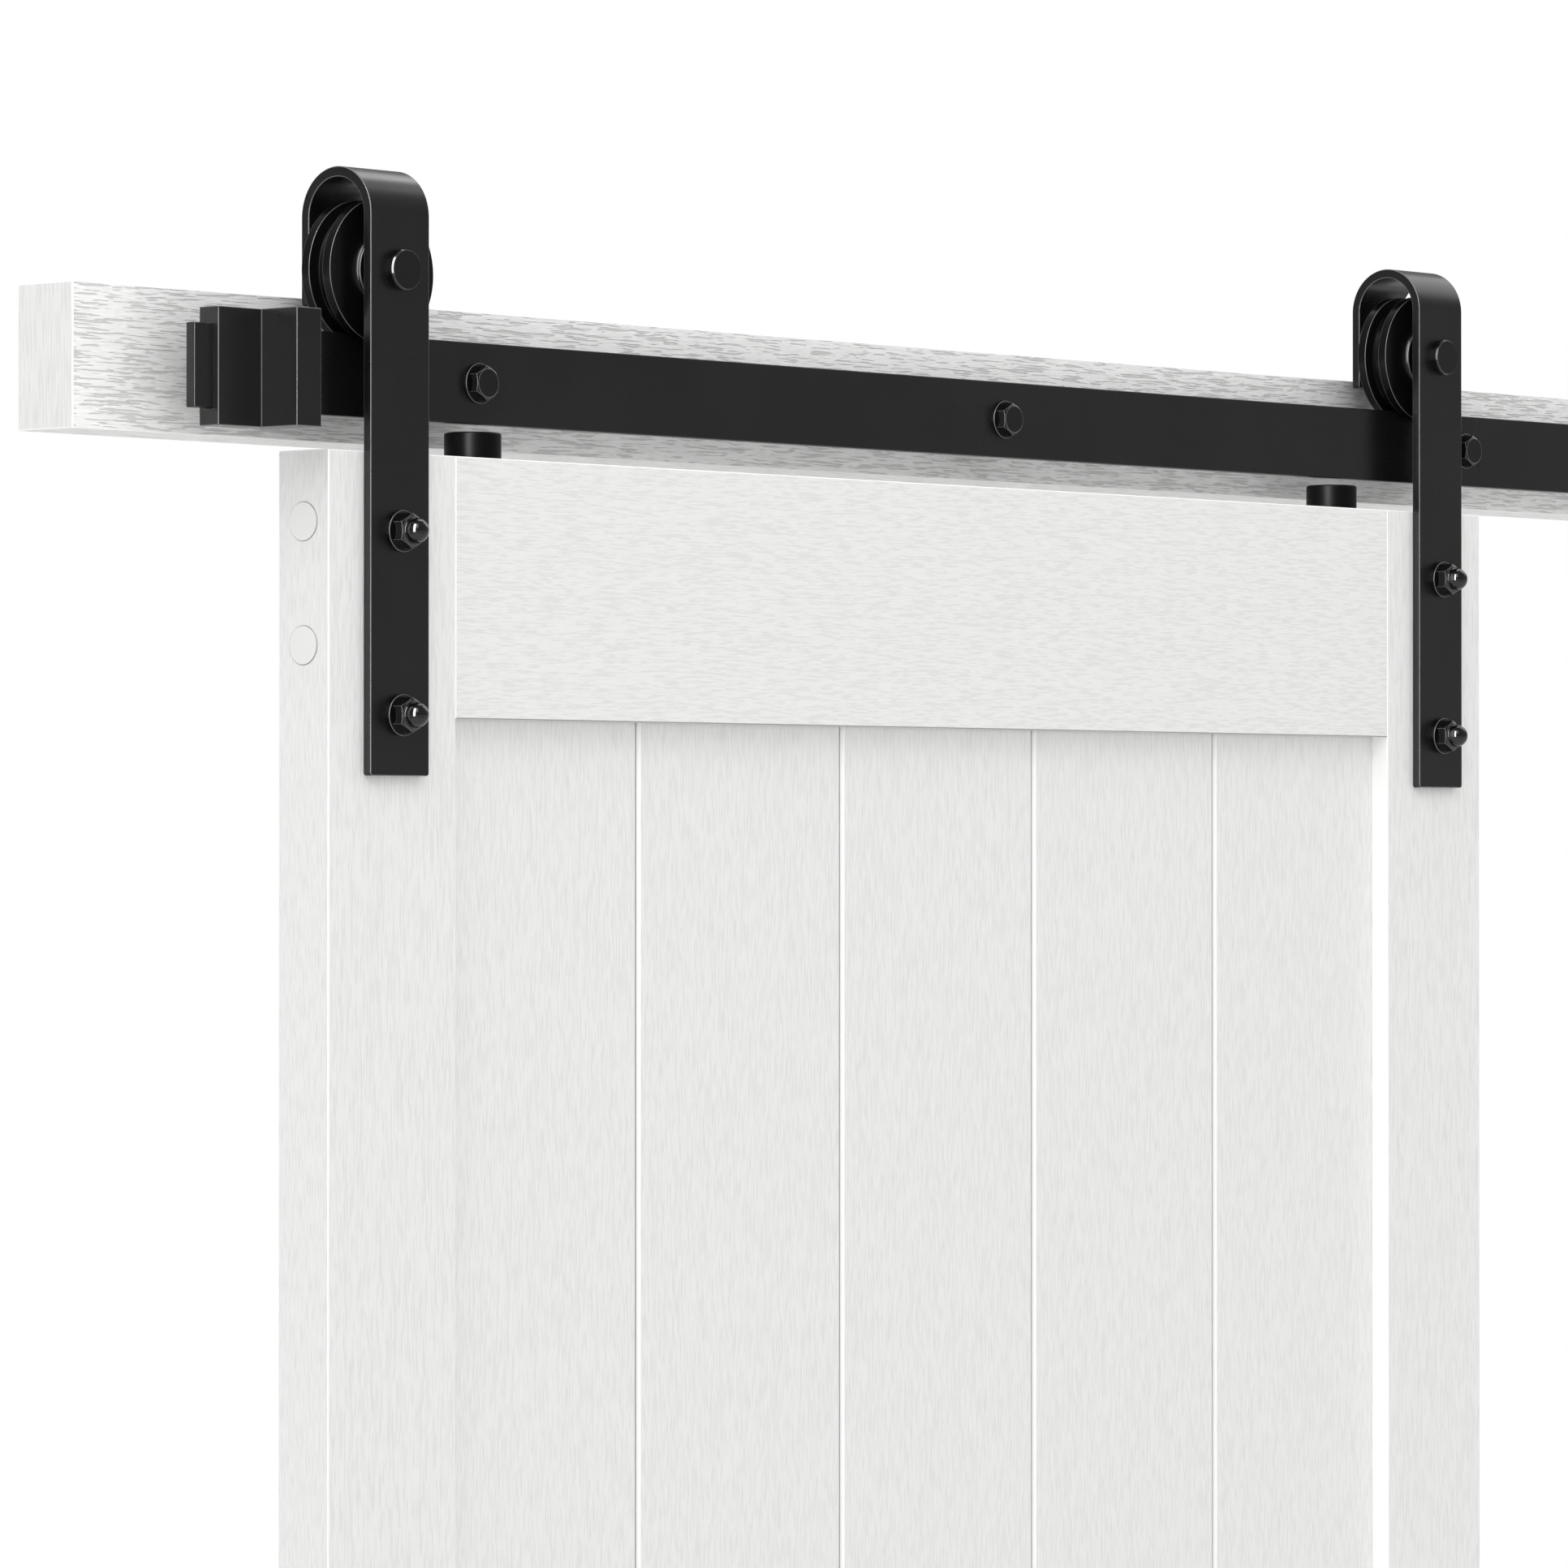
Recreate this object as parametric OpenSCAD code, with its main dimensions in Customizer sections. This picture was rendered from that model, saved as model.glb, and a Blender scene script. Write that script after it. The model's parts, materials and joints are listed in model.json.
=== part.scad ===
// Sliding barn door on a flat track, with its header board, hangers, rollers and end stops.
// The origin is the middle of the header board's back face. +X runs to the right along the
// track, +Y goes into the wall and +Z is up. The door hangs at the left end of its travel.

/* [Header board] */
// Length of the header board
header_len = 2104; // [1900:1:3000]
// Height of the header board
header_h = 69; // [60:0.5:140]
// Thickness of the header board
header_d = 38; // [28:0.5:60]

/* [Track] */
// Length of the assembled track, made of two equal rails
track_len = 2012; // [1950:1:3000]
// Height of the flat bar
track_h = 40; // [34:0.5:50]
// Thickness of the flat bar
track_t = 6; // [5:0.1:8]
// How far the track's centre line lies below the header's centre line
track_drop = 4; // [0:0.5:10]
// Length of the half-lap joint between the two rails
lap_len = 26; // [20:1:40]
// Length of the spacers between track and header
spacer_len = 28; // [24:0.5:40]
// Outside diameter of the spacers
spacer_dia = 24; // [18:0.5:30]
// Distance from a rail's free end to its outer lag screw
lag_end = 190; // [120:1:250]
// Distance from the outer lag screw to the next one
lag_pitch = 397; // [250:1:450]
// Shank diameter of the lag screws
lag_dia = 8; // [6:0.5:10]
// Width across the flats of the lag screw heads
lag_af = 15; // [12:0.5:18]
// Wood left behind the lag screw tips
lag_cover = 6; // [3:0.5:12]

/* [Door] */
// Width of the door
door_w = 914; // [760:1:920]
// Height of the door
door_h = 2134; // [1800:1:2500]
// Thickness of stiles and rails
door_t = 34; // [30:0.5:38]
// Width of the two stiles
stile_w = 86; // [70:1:130]
// Height of the top and bottom rails
rail_h = 127; // [90:1:200]
// Thickness of the planks
plank_t = 12; // [9:0.5:16]
// How deep the planks sit in the grooves of the frame
groove_depth = 12.5; // [8:0.5:16]
// Length of the tongue on each plank
tongue_len = 6; // [4:0.5:8]
// Thickness of the tongue on each plank
tongue_t = 4; // [3:0.5:5]
// Width of one chamfer of the V between two planks
vee = 1.5; // [0.5:0.1:2.5]
// Distance from the track's left end to the door's left edge
door_start = 74; // [72:1:400]
// Gap between the track's lower edge and the top of the door
door_gap = 17; // [15:0.5:30]

/* [Frame bolts] */
// Distance from the rail's outer edge to the first bolt of each corner
corner_bolt_inset = 34; // [25:1:34]
// Distance between the two bolts of a corner
corner_bolt_pitch = 59; // [45:1:62]
// Shank diameter of the frame bolts
corner_bolt_dia = 7; // [5:0.5:8]
// Diameter of the frame bolt heads
corner_head_dia = 12; // [10:0.5:13]
// How far past the stile's middle the frame bolt heads are seated
corner_seat = 15; // [13:1:19]
// How far each frame bolt reaches into the rail
corner_bite = 52; // [30:1:80]
// Diameter of the screw caps
cap_dia = 19; // [16:0.5:24]

/* [Hangers] */
// Width of the hanger straps
strap_w = 39.5; // [32:0.5:46]
// Thickness of the hanger straps
strap_t = 5; // [4:0.1:6]
// Outside depth of the hanger's bend, front to back
bend_depth = 47.3; // [46:0.1:49]
// Height of the bend's top above the track's top edge
strap_top = 80; // [74:0.5:100]
// Length of the front leg below the door's top edge
strap_reach = 155; // [145:1:250]
// Height of the back leg's end above the track's top edge
back_leg_end = 14; // [8:0.5:18]
// Distance from the door's top edge to the upper hanger bolt
hanger_bolt_inset = 38; // [30:0.5:45]
// Distance between the two hanger bolts
hanger_bolt_pitch = 88; // [70:1:95]
// Shank diameter of the hanger bolts
hanger_bolt_dia = 8; // [6:0.5:10]

/* [Rollers] */
// Outside diameter of the rollers
wheel_dia = 70; // [66:0.5:80]
// Width of the roller's rim
wheel_w = 19.5; // [17:0.5:22]
// Depth of the roller's groove
wheel_groove = 5.2; // [4:0.1:7]
// Extra width of the groove at the rim, over its width at the bottom
wheel_flare = 2; // [0.5:0.1:3]
// Diameter of the roller's hub face
hub_dia = 36; // [35:0.5:40]
// How far the hub stands out of the rim on each side
hub_out = 3; // [1:0.5:3.5]
// Radius of the round from hub to rim
hub_round = 5; // [3:0.5:6]
// Diameter of the axle
axle_dia = 10; // [8:0.5:12]
// Outside diameter of the ball bearing
bearing_od = 30; // [26:0.5:30]
// Width of the ball bearing
bearing_w = 9; // [8:0.5:11]
// Outside diameter of the bearing's inner ring
bearing_track = 20; // [18:0.5:22]
// Outside diameter of the sleeves on the axle
sleeve_dia = 14; // [13:0.5:17]

/* [Stops] */
// Width of the stop's clamp, along the track
stop_clamp_w = 28; // [22:0.5:40]
// Width of the stop's arm, along the track
stop_arm_w = 16; // [12:0.5:20]
// Wall of the stop in front of the track and behind it
stop_wall = 3.5; // [2.5:0.5:5]
// Wall of the stop above the track and below it
stop_lip = 8; // [6:0.5:8]
// How far the arm reaches in front of the clamp
stop_reach = 24; // [14:0.5:26]
// Distance from the track's end to the stop
stop_inset = 12; // [5:0.5:12]
// Diameter of the stop's set screws
set_screw_dia = 6; // [4:0.5:6]

/* [Anti-jump discs] */
// Diameter of the anti-jump discs
disc_dia = 28; // [24:0.5:32]
// Height of the anti-jump discs
disc_h = 13; // [10:0.5:14]
// Distance from the door's edge to the disc's axis
disc_inset = 115; // [90:1:160]

/* [Clearances] */
// Gap between pieces that are fitted together
fit_gap = 0.05; // [0.02:0.01:0.1]
// Gap around planks in the frame
wood_gap = 0.2; // [0.1:0.05:0.5]
// Gap between the roller and the track's top edge
roll_gap = 0.2; // [0.1:0.05:0.4]

/* [Hidden] */
$fn = 96;
sides = [0, 1];

// Planes of the track, from front to back
track_front = -header_d - spacer_len - track_t;
track_back = -header_d - spacer_len;
track_mid = (track_front + track_back) / 2;
track_top = track_h / 2 - track_drop;
track_low = track_top - track_h;

// Lag screws and spacers
rail_lags = [-track_len / 2 + lag_end, -track_len / 2 + lag_end + lag_pitch];
lag_xs = concat(rail_lags, [-lap_len / 2], [-rail_lags[1], -rail_lags[0]]);
lag_head_h = 5.5;
lag_bevel = 4.5;
lag_face = 0.5;
lag_flange_h = 1.5;
lag_flange_dia = 20;
lag_shank = track_t + spacer_len + header_d - lag_cover;
lag_point = 7;
lag_tip_r = 1;

// Door frame
door_x0 = -track_len / 2 + door_start;
door_x1 = door_x0 + door_w;
door_top = track_low - door_gap;
door_low = door_top - door_h;
door_front = track_mid - door_t / 2;
door_back = track_mid + door_t / 2;
open_x0 = door_x0 + stile_w;
open_x1 = door_x1 - stile_w;
open_top = door_top - rail_h;
open_low = door_low + rail_h;
plank_count = 5;
plank_field = open_x1 - open_x0 + 2 * (groove_depth - wood_gap);
plank_pitch = plank_field / plank_count;

// Frame bolts
corner_zs = [
    door_top - corner_bolt_inset,
    door_top - corner_bolt_inset - corner_bolt_pitch,
    door_low + corner_bolt_inset + corner_bolt_pitch,
    door_low + corner_bolt_inset
];
corner_recess = stile_w / 2 + corner_seat;
corner_head_h = 6;
corner_shank = stile_w - corner_recess + corner_bite;
cap_rim = 2;
cap_proud = 0.6;
cap_plug = 10;

// Hangers
hanger_xs = [door_x0 + stile_w / 2, door_x1 - stile_w / 2];
hanger_names = ["left", "right"];
strap_front = door_front - strap_t;
bend_r = bend_depth / 2;
bend_y = strap_front + bend_r;
bend_z = track_top + strap_top - bend_r;
back_leg_in = strap_front + bend_depth - strap_t;
back_leg_out = strap_front + bend_depth;
strap_low = door_top - strap_reach;
strap_round = 1.5;
hanger_bolt_zs = [door_top - hanger_bolt_inset, door_top - hanger_bolt_inset - hanger_bolt_pitch];
bolt_head_h = 4.5;
bolt_head_rim = 2;
bolt_head_r = 8;
bolt_face_r = 5;
bolt_socket_af = 5;
bolt_socket_depth = 3;
washer_t = 1.5;
washer_dia = 22;
nut_flange_h = 2.8;
nut_flange_dia = 20;
nut_af = 15;
nut_hex_h = 6.5;
nut_bevel = 4.5;
nut_face = 0.5;
nut_dome_dia = 12.2;
nut_dome_rise = 1.7;
nut_hole_end = 2;

// Rollers
groove_r = wheel_dia / 2 - wheel_groove;
axle_z = track_top + groove_r + roll_gap;
groove_w = track_t + 1;
hub_face = wheel_w / 2 + hub_out;
axle_head_dia = 20;
axle_head_h = 5;
axle_head_bevel = 0.5;
axle_nut_h = 6;
axle_nut_af = 16;
axle_end = 2;
bearing_step = 3;
shoulder_dia = bearing_od - 2 * bearing_step;
rim_bevel = 0.5;

// Stops
stop_y0 = track_front - stop_wall;
stop_y1 = track_back + stop_wall;
stop_z0 = track_low - stop_lip;
stop_z1 = track_top + stop_lip;
stop_xs = [-track_len / 2 + stop_inset, track_len / 2 - stop_inset];
set_screw_inset = 5.5;
set_screw_pitch = 24;
set_socket_af = 3;
set_socket_depth = 3;

// Anti-jump discs
disc_xs = [door_x0 + disc_inset, door_x1 - disc_inset];
disc_round = 1;
disc_head_dia = 10;
disc_head_h = 3;
disc_head_side = 0.5;
disc_head_low = 0.5;
disc_screw_dia = 5;
disc_screw_len = 36;

white = [0.92, 0.92, 0.91];
black = [0.12, 0.12, 0.12];
steel = [0.62, 0.63, 0.65];

// Round bar along +Y from y0 to y1, centred on x and z
module bar_y(x, z, y0, y1, dia) {
    translate([x, y0, z])
        rotate([-90, 0, 0])
            cylinder(h = y1 - y0, d = dia);
}

// Round bar along X from x0 towards +X (dir 1) or -X (dir -1)
module bar_x(x0, y, z, length, dia, dir) {
    translate([x0, y, z])
        rotate([0, dir * 90, 0])
            cylinder(h = length, d = dia);
}

// Hexagonal prism along +Y, with a corner pointing up
module hex_y(x, z, y0, y1, af) {
    translate([x, y0, z])
        rotate([-90, 0, 0])
            rotate([0, 0, 30])
                cylinder(h = y1 - y0, d = af / cos(30), $fn = 6);
}

// Solid turned about the Y axis from a profile of [radius, y] points
module turned_y(x, z, points) {
    translate([x, 0, z])
        rotate([-90, 0, 0])
            rotate_extrude()
                polygon(points);
}

// Shank of a lag screw or of its hole, widened by grow on every side
module lag_shank(x, grow) {
    r = lag_dia / 2 + grow;
    tip = track_front + lag_shank + grow;
    turned_y(x, track_low + track_h / 2, [
        [0, track_front], [r, track_front], [r, tip - lag_point], [lag_tip_r, tip], [0, tip]
    ]);
}

// Header board with blind holes for the lag screws
module header_board() {
    color(white) difference() {
        translate([-header_len / 2, -header_d, -header_h / 2])
            cube([header_len, header_d, header_h]);
        for (x = lag_xs)
            lag_shank(x, fit_gap);
    }
}

// One rail. Its front tongue or back tongue makes the half-lap at the track's middle.
module rail(x0, x1, tongue_x0, tongue_front, holes) {
    color(black) difference() {
        union() {
            translate([x0, track_front, track_low])
                cube([x1 - x0, track_t, track_h]);
            translate([tongue_x0, tongue_front, track_low])
                cube([lap_len, track_t / 2, track_h]);
        }
        for (x = holes)
            lag_shank(x, fit_gap);
    }
}

// Left rail, with the front tongue
module rail_left() {
    rail(-track_len / 2, -lap_len, -lap_len, track_front, concat(rail_lags, [-lap_len / 2]));
}

// Right rail, with the back tongue
module rail_right() {
    rail(0, track_len / 2, -lap_len, track_mid, [-lap_len / 2, -rail_lags[1], -rail_lags[0]]);
}

// Tubular spacer between rail and header
module rail_spacer(index) {
    color(black) difference() {
        bar_y(lag_xs[index], track_low + track_h / 2, track_back, -header_d, spacer_dia);
        lag_shank(lag_xs[index], fit_gap);
    }
}

// Hexagonal lag screws with a flange, through rail and spacer into the header
module lag_screws() {
    z = track_low + track_h / 2;
    neck = track_front - lag_flange_h;
    top = neck - lag_head_h;
    color(black) for (x = lag_xs) {
        union() {
            lag_shank(x, 0);
            bar_y(x, z, neck, track_front, lag_flange_dia);
            intersection() {
                hex_y(x, z, top, track_front, lag_af);
                turned_y(x, z, [
                    [0, track_front], [lag_af, track_front], [lag_af, top + lag_bevel],
                    [lag_af / 2 - lag_face, top], [0, top]
                ]);
            }
        }
    }
}

// Stop that slides over the rail's end. The arm is on the side of the door, given by dir.
module stop(x0, dir) {
    clamp_x = dir > 0 ? x0 : x0 - stop_clamp_w;
    arm_x = dir > 0 ? x0 + stop_clamp_w : x0 - stop_clamp_w - stop_arm_w;
    slot_w = track_t + 2 * fit_gap;
    slot_h = track_h + 2 * fit_gap;
    whole = stop_clamp_w + stop_arm_w;
    color(black) difference() {
        union() {
            translate([clamp_x, stop_y0, stop_z0])
                cube([stop_clamp_w, stop_y1 - stop_y0, stop_z1 - stop_z0]);
            translate([arm_x, stop_y0 - stop_reach, stop_z0])
                cube([stop_arm_w, stop_y1 - stop_y0 + stop_reach, stop_z1 - stop_z0]);
        }
        translate([min(clamp_x, arm_x) - 1, track_front - fit_gap, track_low - fit_gap])
            cube([whole + 2, slot_w, slot_h]);
        for (i = sides)
            translate([x0 + dir * (set_screw_inset + i * set_screw_pitch), track_mid, stop_z0 - 1])
                cylinder(h = stop_lip + 1, d = set_screw_dia + 2 * fit_gap);
    }
}

// Left stop
module stop_left() {
    stop(stop_xs[0], 1);
}

// Right stop
module stop_right() {
    stop(stop_xs[1], -1);
}

// Socket set screws that clamp the stops to the track's lower edge
module stop_set_screws() {
    color(steel) for (side = sides)
        for (i = sides) {
            dir = 1 - 2 * side;
            translate([stop_xs[side] + dir * (set_screw_inset + i * set_screw_pitch), track_mid, stop_z0])
                difference() {
                    cylinder(h = stop_lip, d = set_screw_dia);
                    translate([0, 0, -1])
                        cylinder(h = set_socket_depth + 1, d = set_socket_af / cos(30), $fn = 6);
                }
        }
}

// Frame bolt on the stile's edge at x, pointing along dir, or its hole when grow is above 0
module frame_bolt(x, z, dir, grow) {
    head_d = corner_head_dia + 2 * grow;
    shank_d = corner_bolt_dia + 2 * grow;
    union() {
        bar_x(x + dir * (corner_recess - corner_head_h), track_mid, z, corner_head_h, head_d, dir);
        bar_x(x + dir * corner_recess, track_mid, z, corner_shank + grow, shank_d, dir);
    }
}

// Everything that is cut out of the wood for one frame bolt and its cap
module frame_bolt_room(x, z, dir) {
    cap_room = cap_dia + 2 * fit_gap;
    recess_d = corner_head_dia + 2 * fit_gap;
    union() {
        bar_x(x - dir, track_mid, z, cap_rim + 1, cap_room, dir);
        bar_x(x, track_mid, z, corner_recess, recess_d, dir);
        frame_bolt(x, z, dir, fit_gap);
    }
}

// Stile with the groove for the planks, the hanger bolt holes and the frame bolt recesses
module stile(x0, edge_x, inner_x, dir, hanger_x) {
    groove_y = track_mid - plank_t / 2 - wood_gap / 2;
    groove_z = open_low - groove_depth;
    color(white) difference() {
        translate([x0, door_front, door_low])
            cube([stile_w, door_t, door_h]);
        translate([min(inner_x, inner_x - dir * groove_depth), groove_y, groove_z])
            cube([groove_depth, plank_t + wood_gap, open_top - open_low + 2 * groove_depth]);
        for (z = corner_zs)
            frame_bolt_room(edge_x, z, dir);
        for (z = hanger_bolt_zs)
            bar_y(hanger_x, z, door_front - 1, door_back + 1, hanger_bolt_dia + 2 * fit_gap);
    }
}

// Left stile
module left_stile() {
    stile(door_x0, door_x0, open_x0, 1, hanger_xs[0]);
}

// Right stile
module right_stile() {
    stile(open_x1, door_x1, open_x1, -1, hanger_xs[1]);
}

// Rail of the door frame, with the groove for the planks in its inner edge
module door_rail(z0, groove_z, zs, screw_xs) {
    color(white) difference() {
        translate([open_x0, door_front, z0])
            cube([open_x1 - open_x0, door_t, rail_h]);
        translate([open_x0 - 1, track_mid - plank_t / 2 - wood_gap / 2, groove_z])
            cube([open_x1 - open_x0 + 2, plank_t + wood_gap, groove_depth]);
        for (z = zs) {
            frame_bolt(door_x0, z, 1, fit_gap);
            frame_bolt(door_x1, z, -1, fit_gap);
        }
        for (x = screw_xs)
            translate([x, track_mid, door_top + disc_h - disc_head_h - disc_screw_len - fit_gap])
                cylinder(h = disc_screw_len + 2, d = disc_screw_dia + 2 * fit_gap);
    }
}

// Top rail
module top_rail() {
    door_rail(open_top, open_top, [corner_zs[0], corner_zs[1]], disc_xs);
}

// Bottom rail
module bottom_rail() {
    door_rail(door_low, open_low - groove_depth, [corner_zs[2], corner_zs[3]], []);
}

// Outline of one plank seen from above: x from 0 to its pitch, y across its thickness
module plank_outline(has_groove, has_tongue) {
    h = plank_t / 2;
    t = tongue_t / 2;
    room = tongue_t / 2 + wood_gap / 2;
    w = plank_pitch;
    left = has_groove ? [
        [vee, -h], [0, vee - h], [0, -room], [tongue_len + wood_gap, -room],
        [tongue_len + wood_gap, room], [0, room], [0, h - vee], [vee, h]
    ] : [[0, -h], [0, h]];
    right = has_tongue ? [
        [w - vee, h], [w, h - vee], [w, t], [w + tongue_len, t],
        [w + tongue_len, -t], [w, -t], [w, vee - h], [w - vee, -h]
    ] : [[w, h], [w, -h]];
    polygon(concat(left, right));
}

// One tongue-and-groove plank, counted from the left
module plank(index) {
    z0 = open_low - groove_depth + wood_gap;
    z1 = open_top + groove_depth - wood_gap;
    color(white)
        translate([open_x0 - groove_depth + wood_gap + index * plank_pitch, track_mid, z0])
            linear_extrude(height = z1 - z0)
                plank_outline(index > 0, index < plank_count - 1);
}

// Frame bolts in the four corners of the door
module frame_bolts() {
    color(steel) for (z = corner_zs) {
        frame_bolt(door_x0, z, 1, 0);
        frame_bolt(door_x1, z, -1, 0);
    }
}

// Screw caps over the frame bolts, on the outer edges of the stiles
module screw_caps() {
    color(white) for (z = corner_zs)
        for (side = sides) {
            dir = 1 - 2 * side;
            x = side == 0 ? door_x0 : door_x1;
            union() {
                bar_x(x - dir * cap_proud, track_mid, z, cap_rim + cap_proud, cap_dia, dir);
                bar_x(x, track_mid, z, cap_plug, corner_head_dia, dir);
            }
        }
}

// Side view of the hanger strap, with y to the right and z up
module strap_side() {
    union() {
        intersection() {
            difference() {
                translate([bend_y, bend_z])
                    circle(r = bend_r);
                translate([bend_y, bend_z])
                    circle(r = bend_r - strap_t);
            }
            translate([strap_front, bend_z])
                square([bend_depth, bend_r]);
        }
        translate([strap_front, strap_low])
            square([strap_t, bend_z - strap_low]);
        translate([back_leg_in, track_top + back_leg_end])
            square([strap_t, bend_z - track_top - back_leg_end]);
    }
}

// What is cut off to round one lower corner of the strap
module strap_corner(x, dir, z, y0, y1) {
    difference() {
        translate([dir > 0 ? x - 1 : x - strap_round, y0, z - 1])
            cube([strap_round + 1, y1 - y0, strap_round + 1]);
        bar_y(x + dir * strap_round, z + strap_round, y0 - 1, y1 + 1, 2 * strap_round);
    }
}

// U-bent hanger strap with its axle and bolt holes
module hanger(x) {
    x0 = x - strap_w / 2;
    color(black) difference() {
        translate([x0, 0, 0])
            rotate([90, 0, 90])
                linear_extrude(height = strap_w)
                    strap_side();
        bar_y(x, axle_z, strap_front - 1, back_leg_out + 1, axle_dia + 2 * fit_gap);
        for (z = hanger_bolt_zs)
            bar_y(x, z, strap_front - 1, door_front + 1, hanger_bolt_dia + 2 * fit_gap);
        strap_corner(x0, 1, strap_low, strap_front - 1, door_front + 1);
        strap_corner(x0 + strap_w, -1, strap_low, strap_front - 1, door_front + 1);
        strap_corner(x0, 1, track_top + back_leg_end, back_leg_in - 1, back_leg_out + 1);
        strap_corner(x0 + strap_w, -1, track_top + back_leg_end, back_leg_in - 1, back_leg_out + 1);
    }
}

// Left hanger
module hanger_left() {
    hanger(hanger_xs[0]);
}

// Right hanger
module hanger_right() {
    hanger(hanger_xs[1]);
}

// Bolts through stile and strap, with a low round head behind the door
module hanger_bolts() {
    seat = door_back + washer_t;
    face = seat + bolt_head_h;
    tip = strap_front - nut_flange_h - nut_hex_h;
    color(black) for (x = hanger_xs)
        for (z = hanger_bolt_zs)
            difference() {
                union() {
                    bar_y(x, z, tip, seat, hanger_bolt_dia);
                    turned_y(x, z, [
                        [0, seat], [bolt_head_r, seat], [bolt_head_r, seat + bolt_head_rim],
                        [bolt_face_r, face], [0, face]
                    ]);
                }
                hex_y(x, z, face - bolt_socket_depth, face + 1, bolt_socket_af);
            }
}

// Washers behind the door
module hanger_washers() {
    color(steel) for (x = hanger_xs)
        for (z = hanger_bolt_zs)
            difference() {
                bar_y(x, z, door_back, door_back + washer_t, washer_dia);
                bar_y(x, z, door_back - 1, door_back + washer_t + 1, hanger_bolt_dia + 2 * fit_gap);
            }
}

// Dome nuts in front of the strap
module dome_nuts() {
    seat = strap_front;
    hex_end = seat - nut_flange_h - nut_hex_h;
    color(black) for (x = hanger_xs)
        for (z = hanger_bolt_zs)
            difference() {
                union() {
                    bar_y(x, z, seat - nut_flange_h, seat, nut_flange_dia);
                    intersection() {
                        hex_y(x, z, hex_end, seat, nut_af);
                        turned_y(x, z, [
                            [0, seat], [nut_af, seat], [nut_af, hex_end + nut_bevel],
                            [nut_af / 2 - nut_face, hex_end], [0, hex_end]
                        ]);
                    }
                    bar_y(x, z, hex_end - nut_dome_rise, seat, nut_dome_dia);
                    translate([x, hex_end - nut_dome_rise, z])
                        sphere(d = nut_dome_dia);
                }
                bar_y(x, z, hex_end - nut_hole_end, seat + 1, hanger_bolt_dia + 2 * fit_gap);
            }
}

// Axle with a bevelled round head in front of the strap
module axle(x) {
    neck = strap_front - axle_head_h;
    r = axle_head_dia / 2;
    color(black) union() {
        turned_y(x, axle_z, [
            [0, neck], [r - axle_head_bevel, neck], [r, neck + axle_head_bevel],
            [r, strap_front], [0, strap_front]
        ]);
        bar_y(x, axle_z, strap_front, back_leg_out + axle_nut_h + axle_end, axle_dia);
    }
}

// Left axle
module axle_left() {
    axle(hanger_xs[0]);
}

// Right axle
module axle_right() {
    axle(hanger_xs[1]);
}

// Nuts on the axles, behind the straps, with a flat downwards to clear the header
module axle_nuts() {
    color(steel) for (x = hanger_xs)
        difference() {
            translate([x, back_leg_out, axle_z])
                rotate([-90, 0, 0])
                    cylinder(h = axle_nut_h, d = axle_nut_af / cos(30), $fn = 6);
            bar_y(x, axle_z, back_leg_out - 1, back_leg_out + axle_nut_h + 1, axle_dia + 2 * fit_gap);
        }
}

// Ring on the axle from y0 to y1
module axle_ring(x, y0, y1, od, id) {
    difference() {
        bar_y(x, axle_z, y0, y1, od);
        bar_y(x, axle_z, y0 - 1, y1 + 1, id);
    }
}

// Sleeve between the strap's front leg and the bearing
module front_sleeve(x) {
    color(black)
        axle_ring(x, door_front, track_mid - bearing_w / 2, sleeve_dia, axle_dia + 2 * fit_gap);
}

// Sleeve between the bearing and the strap's back leg
module back_sleeve(x) {
    color(black)
        axle_ring(x, track_mid + bearing_w / 2, back_leg_in, sleeve_dia, axle_dia + 2 * fit_gap);
}

// Inner ring of the bearing, clamped on the axle by the sleeves
module bearing_inner(x) {
    y0 = track_mid - bearing_w / 2;
    color(steel)
        axle_ring(x, y0, y0 + bearing_w, bearing_track, axle_dia + 2 * fit_gap);
}

// Outer ring of the bearing, pressed into the roller
module bearing_outer(x) {
    y0 = track_mid - bearing_w / 2;
    color(steel)
        axle_ring(x, y0, y0 + bearing_w, bearing_od, bearing_track + 2 * fit_gap);
}

// Half of the roller's profile, from its middle outwards, as [radius, distance] points
function wheel_flank() = concat(
    [[groove_r, 0], [groove_r, groove_w / 2]],
    [[wheel_dia / 2, (groove_w + wheel_flare) / 2]],
    [[wheel_dia / 2, wheel_w / 2 - rim_bevel], [wheel_dia / 2 - rim_bevel, wheel_w / 2]],
    [for (a = [0:15:90]) [
        hub_dia / 2 + hub_round * (1 - sin(a)),
        wheel_w / 2 + hub_out * (1 - cos(a))
    ]]
);

// Grooved roller with a pocket for the bearing, open to the back
module wheel(x) {
    flank = wheel_flank();
    front = [for (p = flank) [p[0], track_mid - p[1]]];
    back = [for (i = [len(flank) - 1:-1:0]) [flank[i][0], track_mid + flank[i][1]]];
    color(black) difference() {
        turned_y(x, axle_z, concat([[shoulder_dia / 2, track_mid + hub_face]], back, front,
            [[shoulder_dia / 2, track_mid - hub_face]]));
        bar_y(x, axle_z, track_mid - bearing_w / 2, track_mid + hub_face + 1, bearing_od);
    }
}

// Left roller
module wheel_left() {
    wheel(hanger_xs[0]);
}

// Right roller
module wheel_right() {
    wheel(hanger_xs[1]);
}

// Anti-jump disc on top of the door, under the track
module anti_jump_disc(x) {
    r = disc_dia / 2;
    top = door_top + disc_h;
    color(black) difference() {
        translate([x, track_mid, 0])
            rotate_extrude()
                polygon([
                    [0, door_top], [r, door_top], [r, top - disc_round],
                    [r - disc_round, top], [0, top]
                ]);
        translate([x, track_mid, top - disc_head_h])
            cylinder(h = disc_head_h + 1, d = disc_head_dia + 2 * disc_head_side);
        translate([x, track_mid, door_top - 1])
            cylinder(h = disc_h + 2, d = disc_screw_dia + 2 * fit_gap);
    }
}

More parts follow.
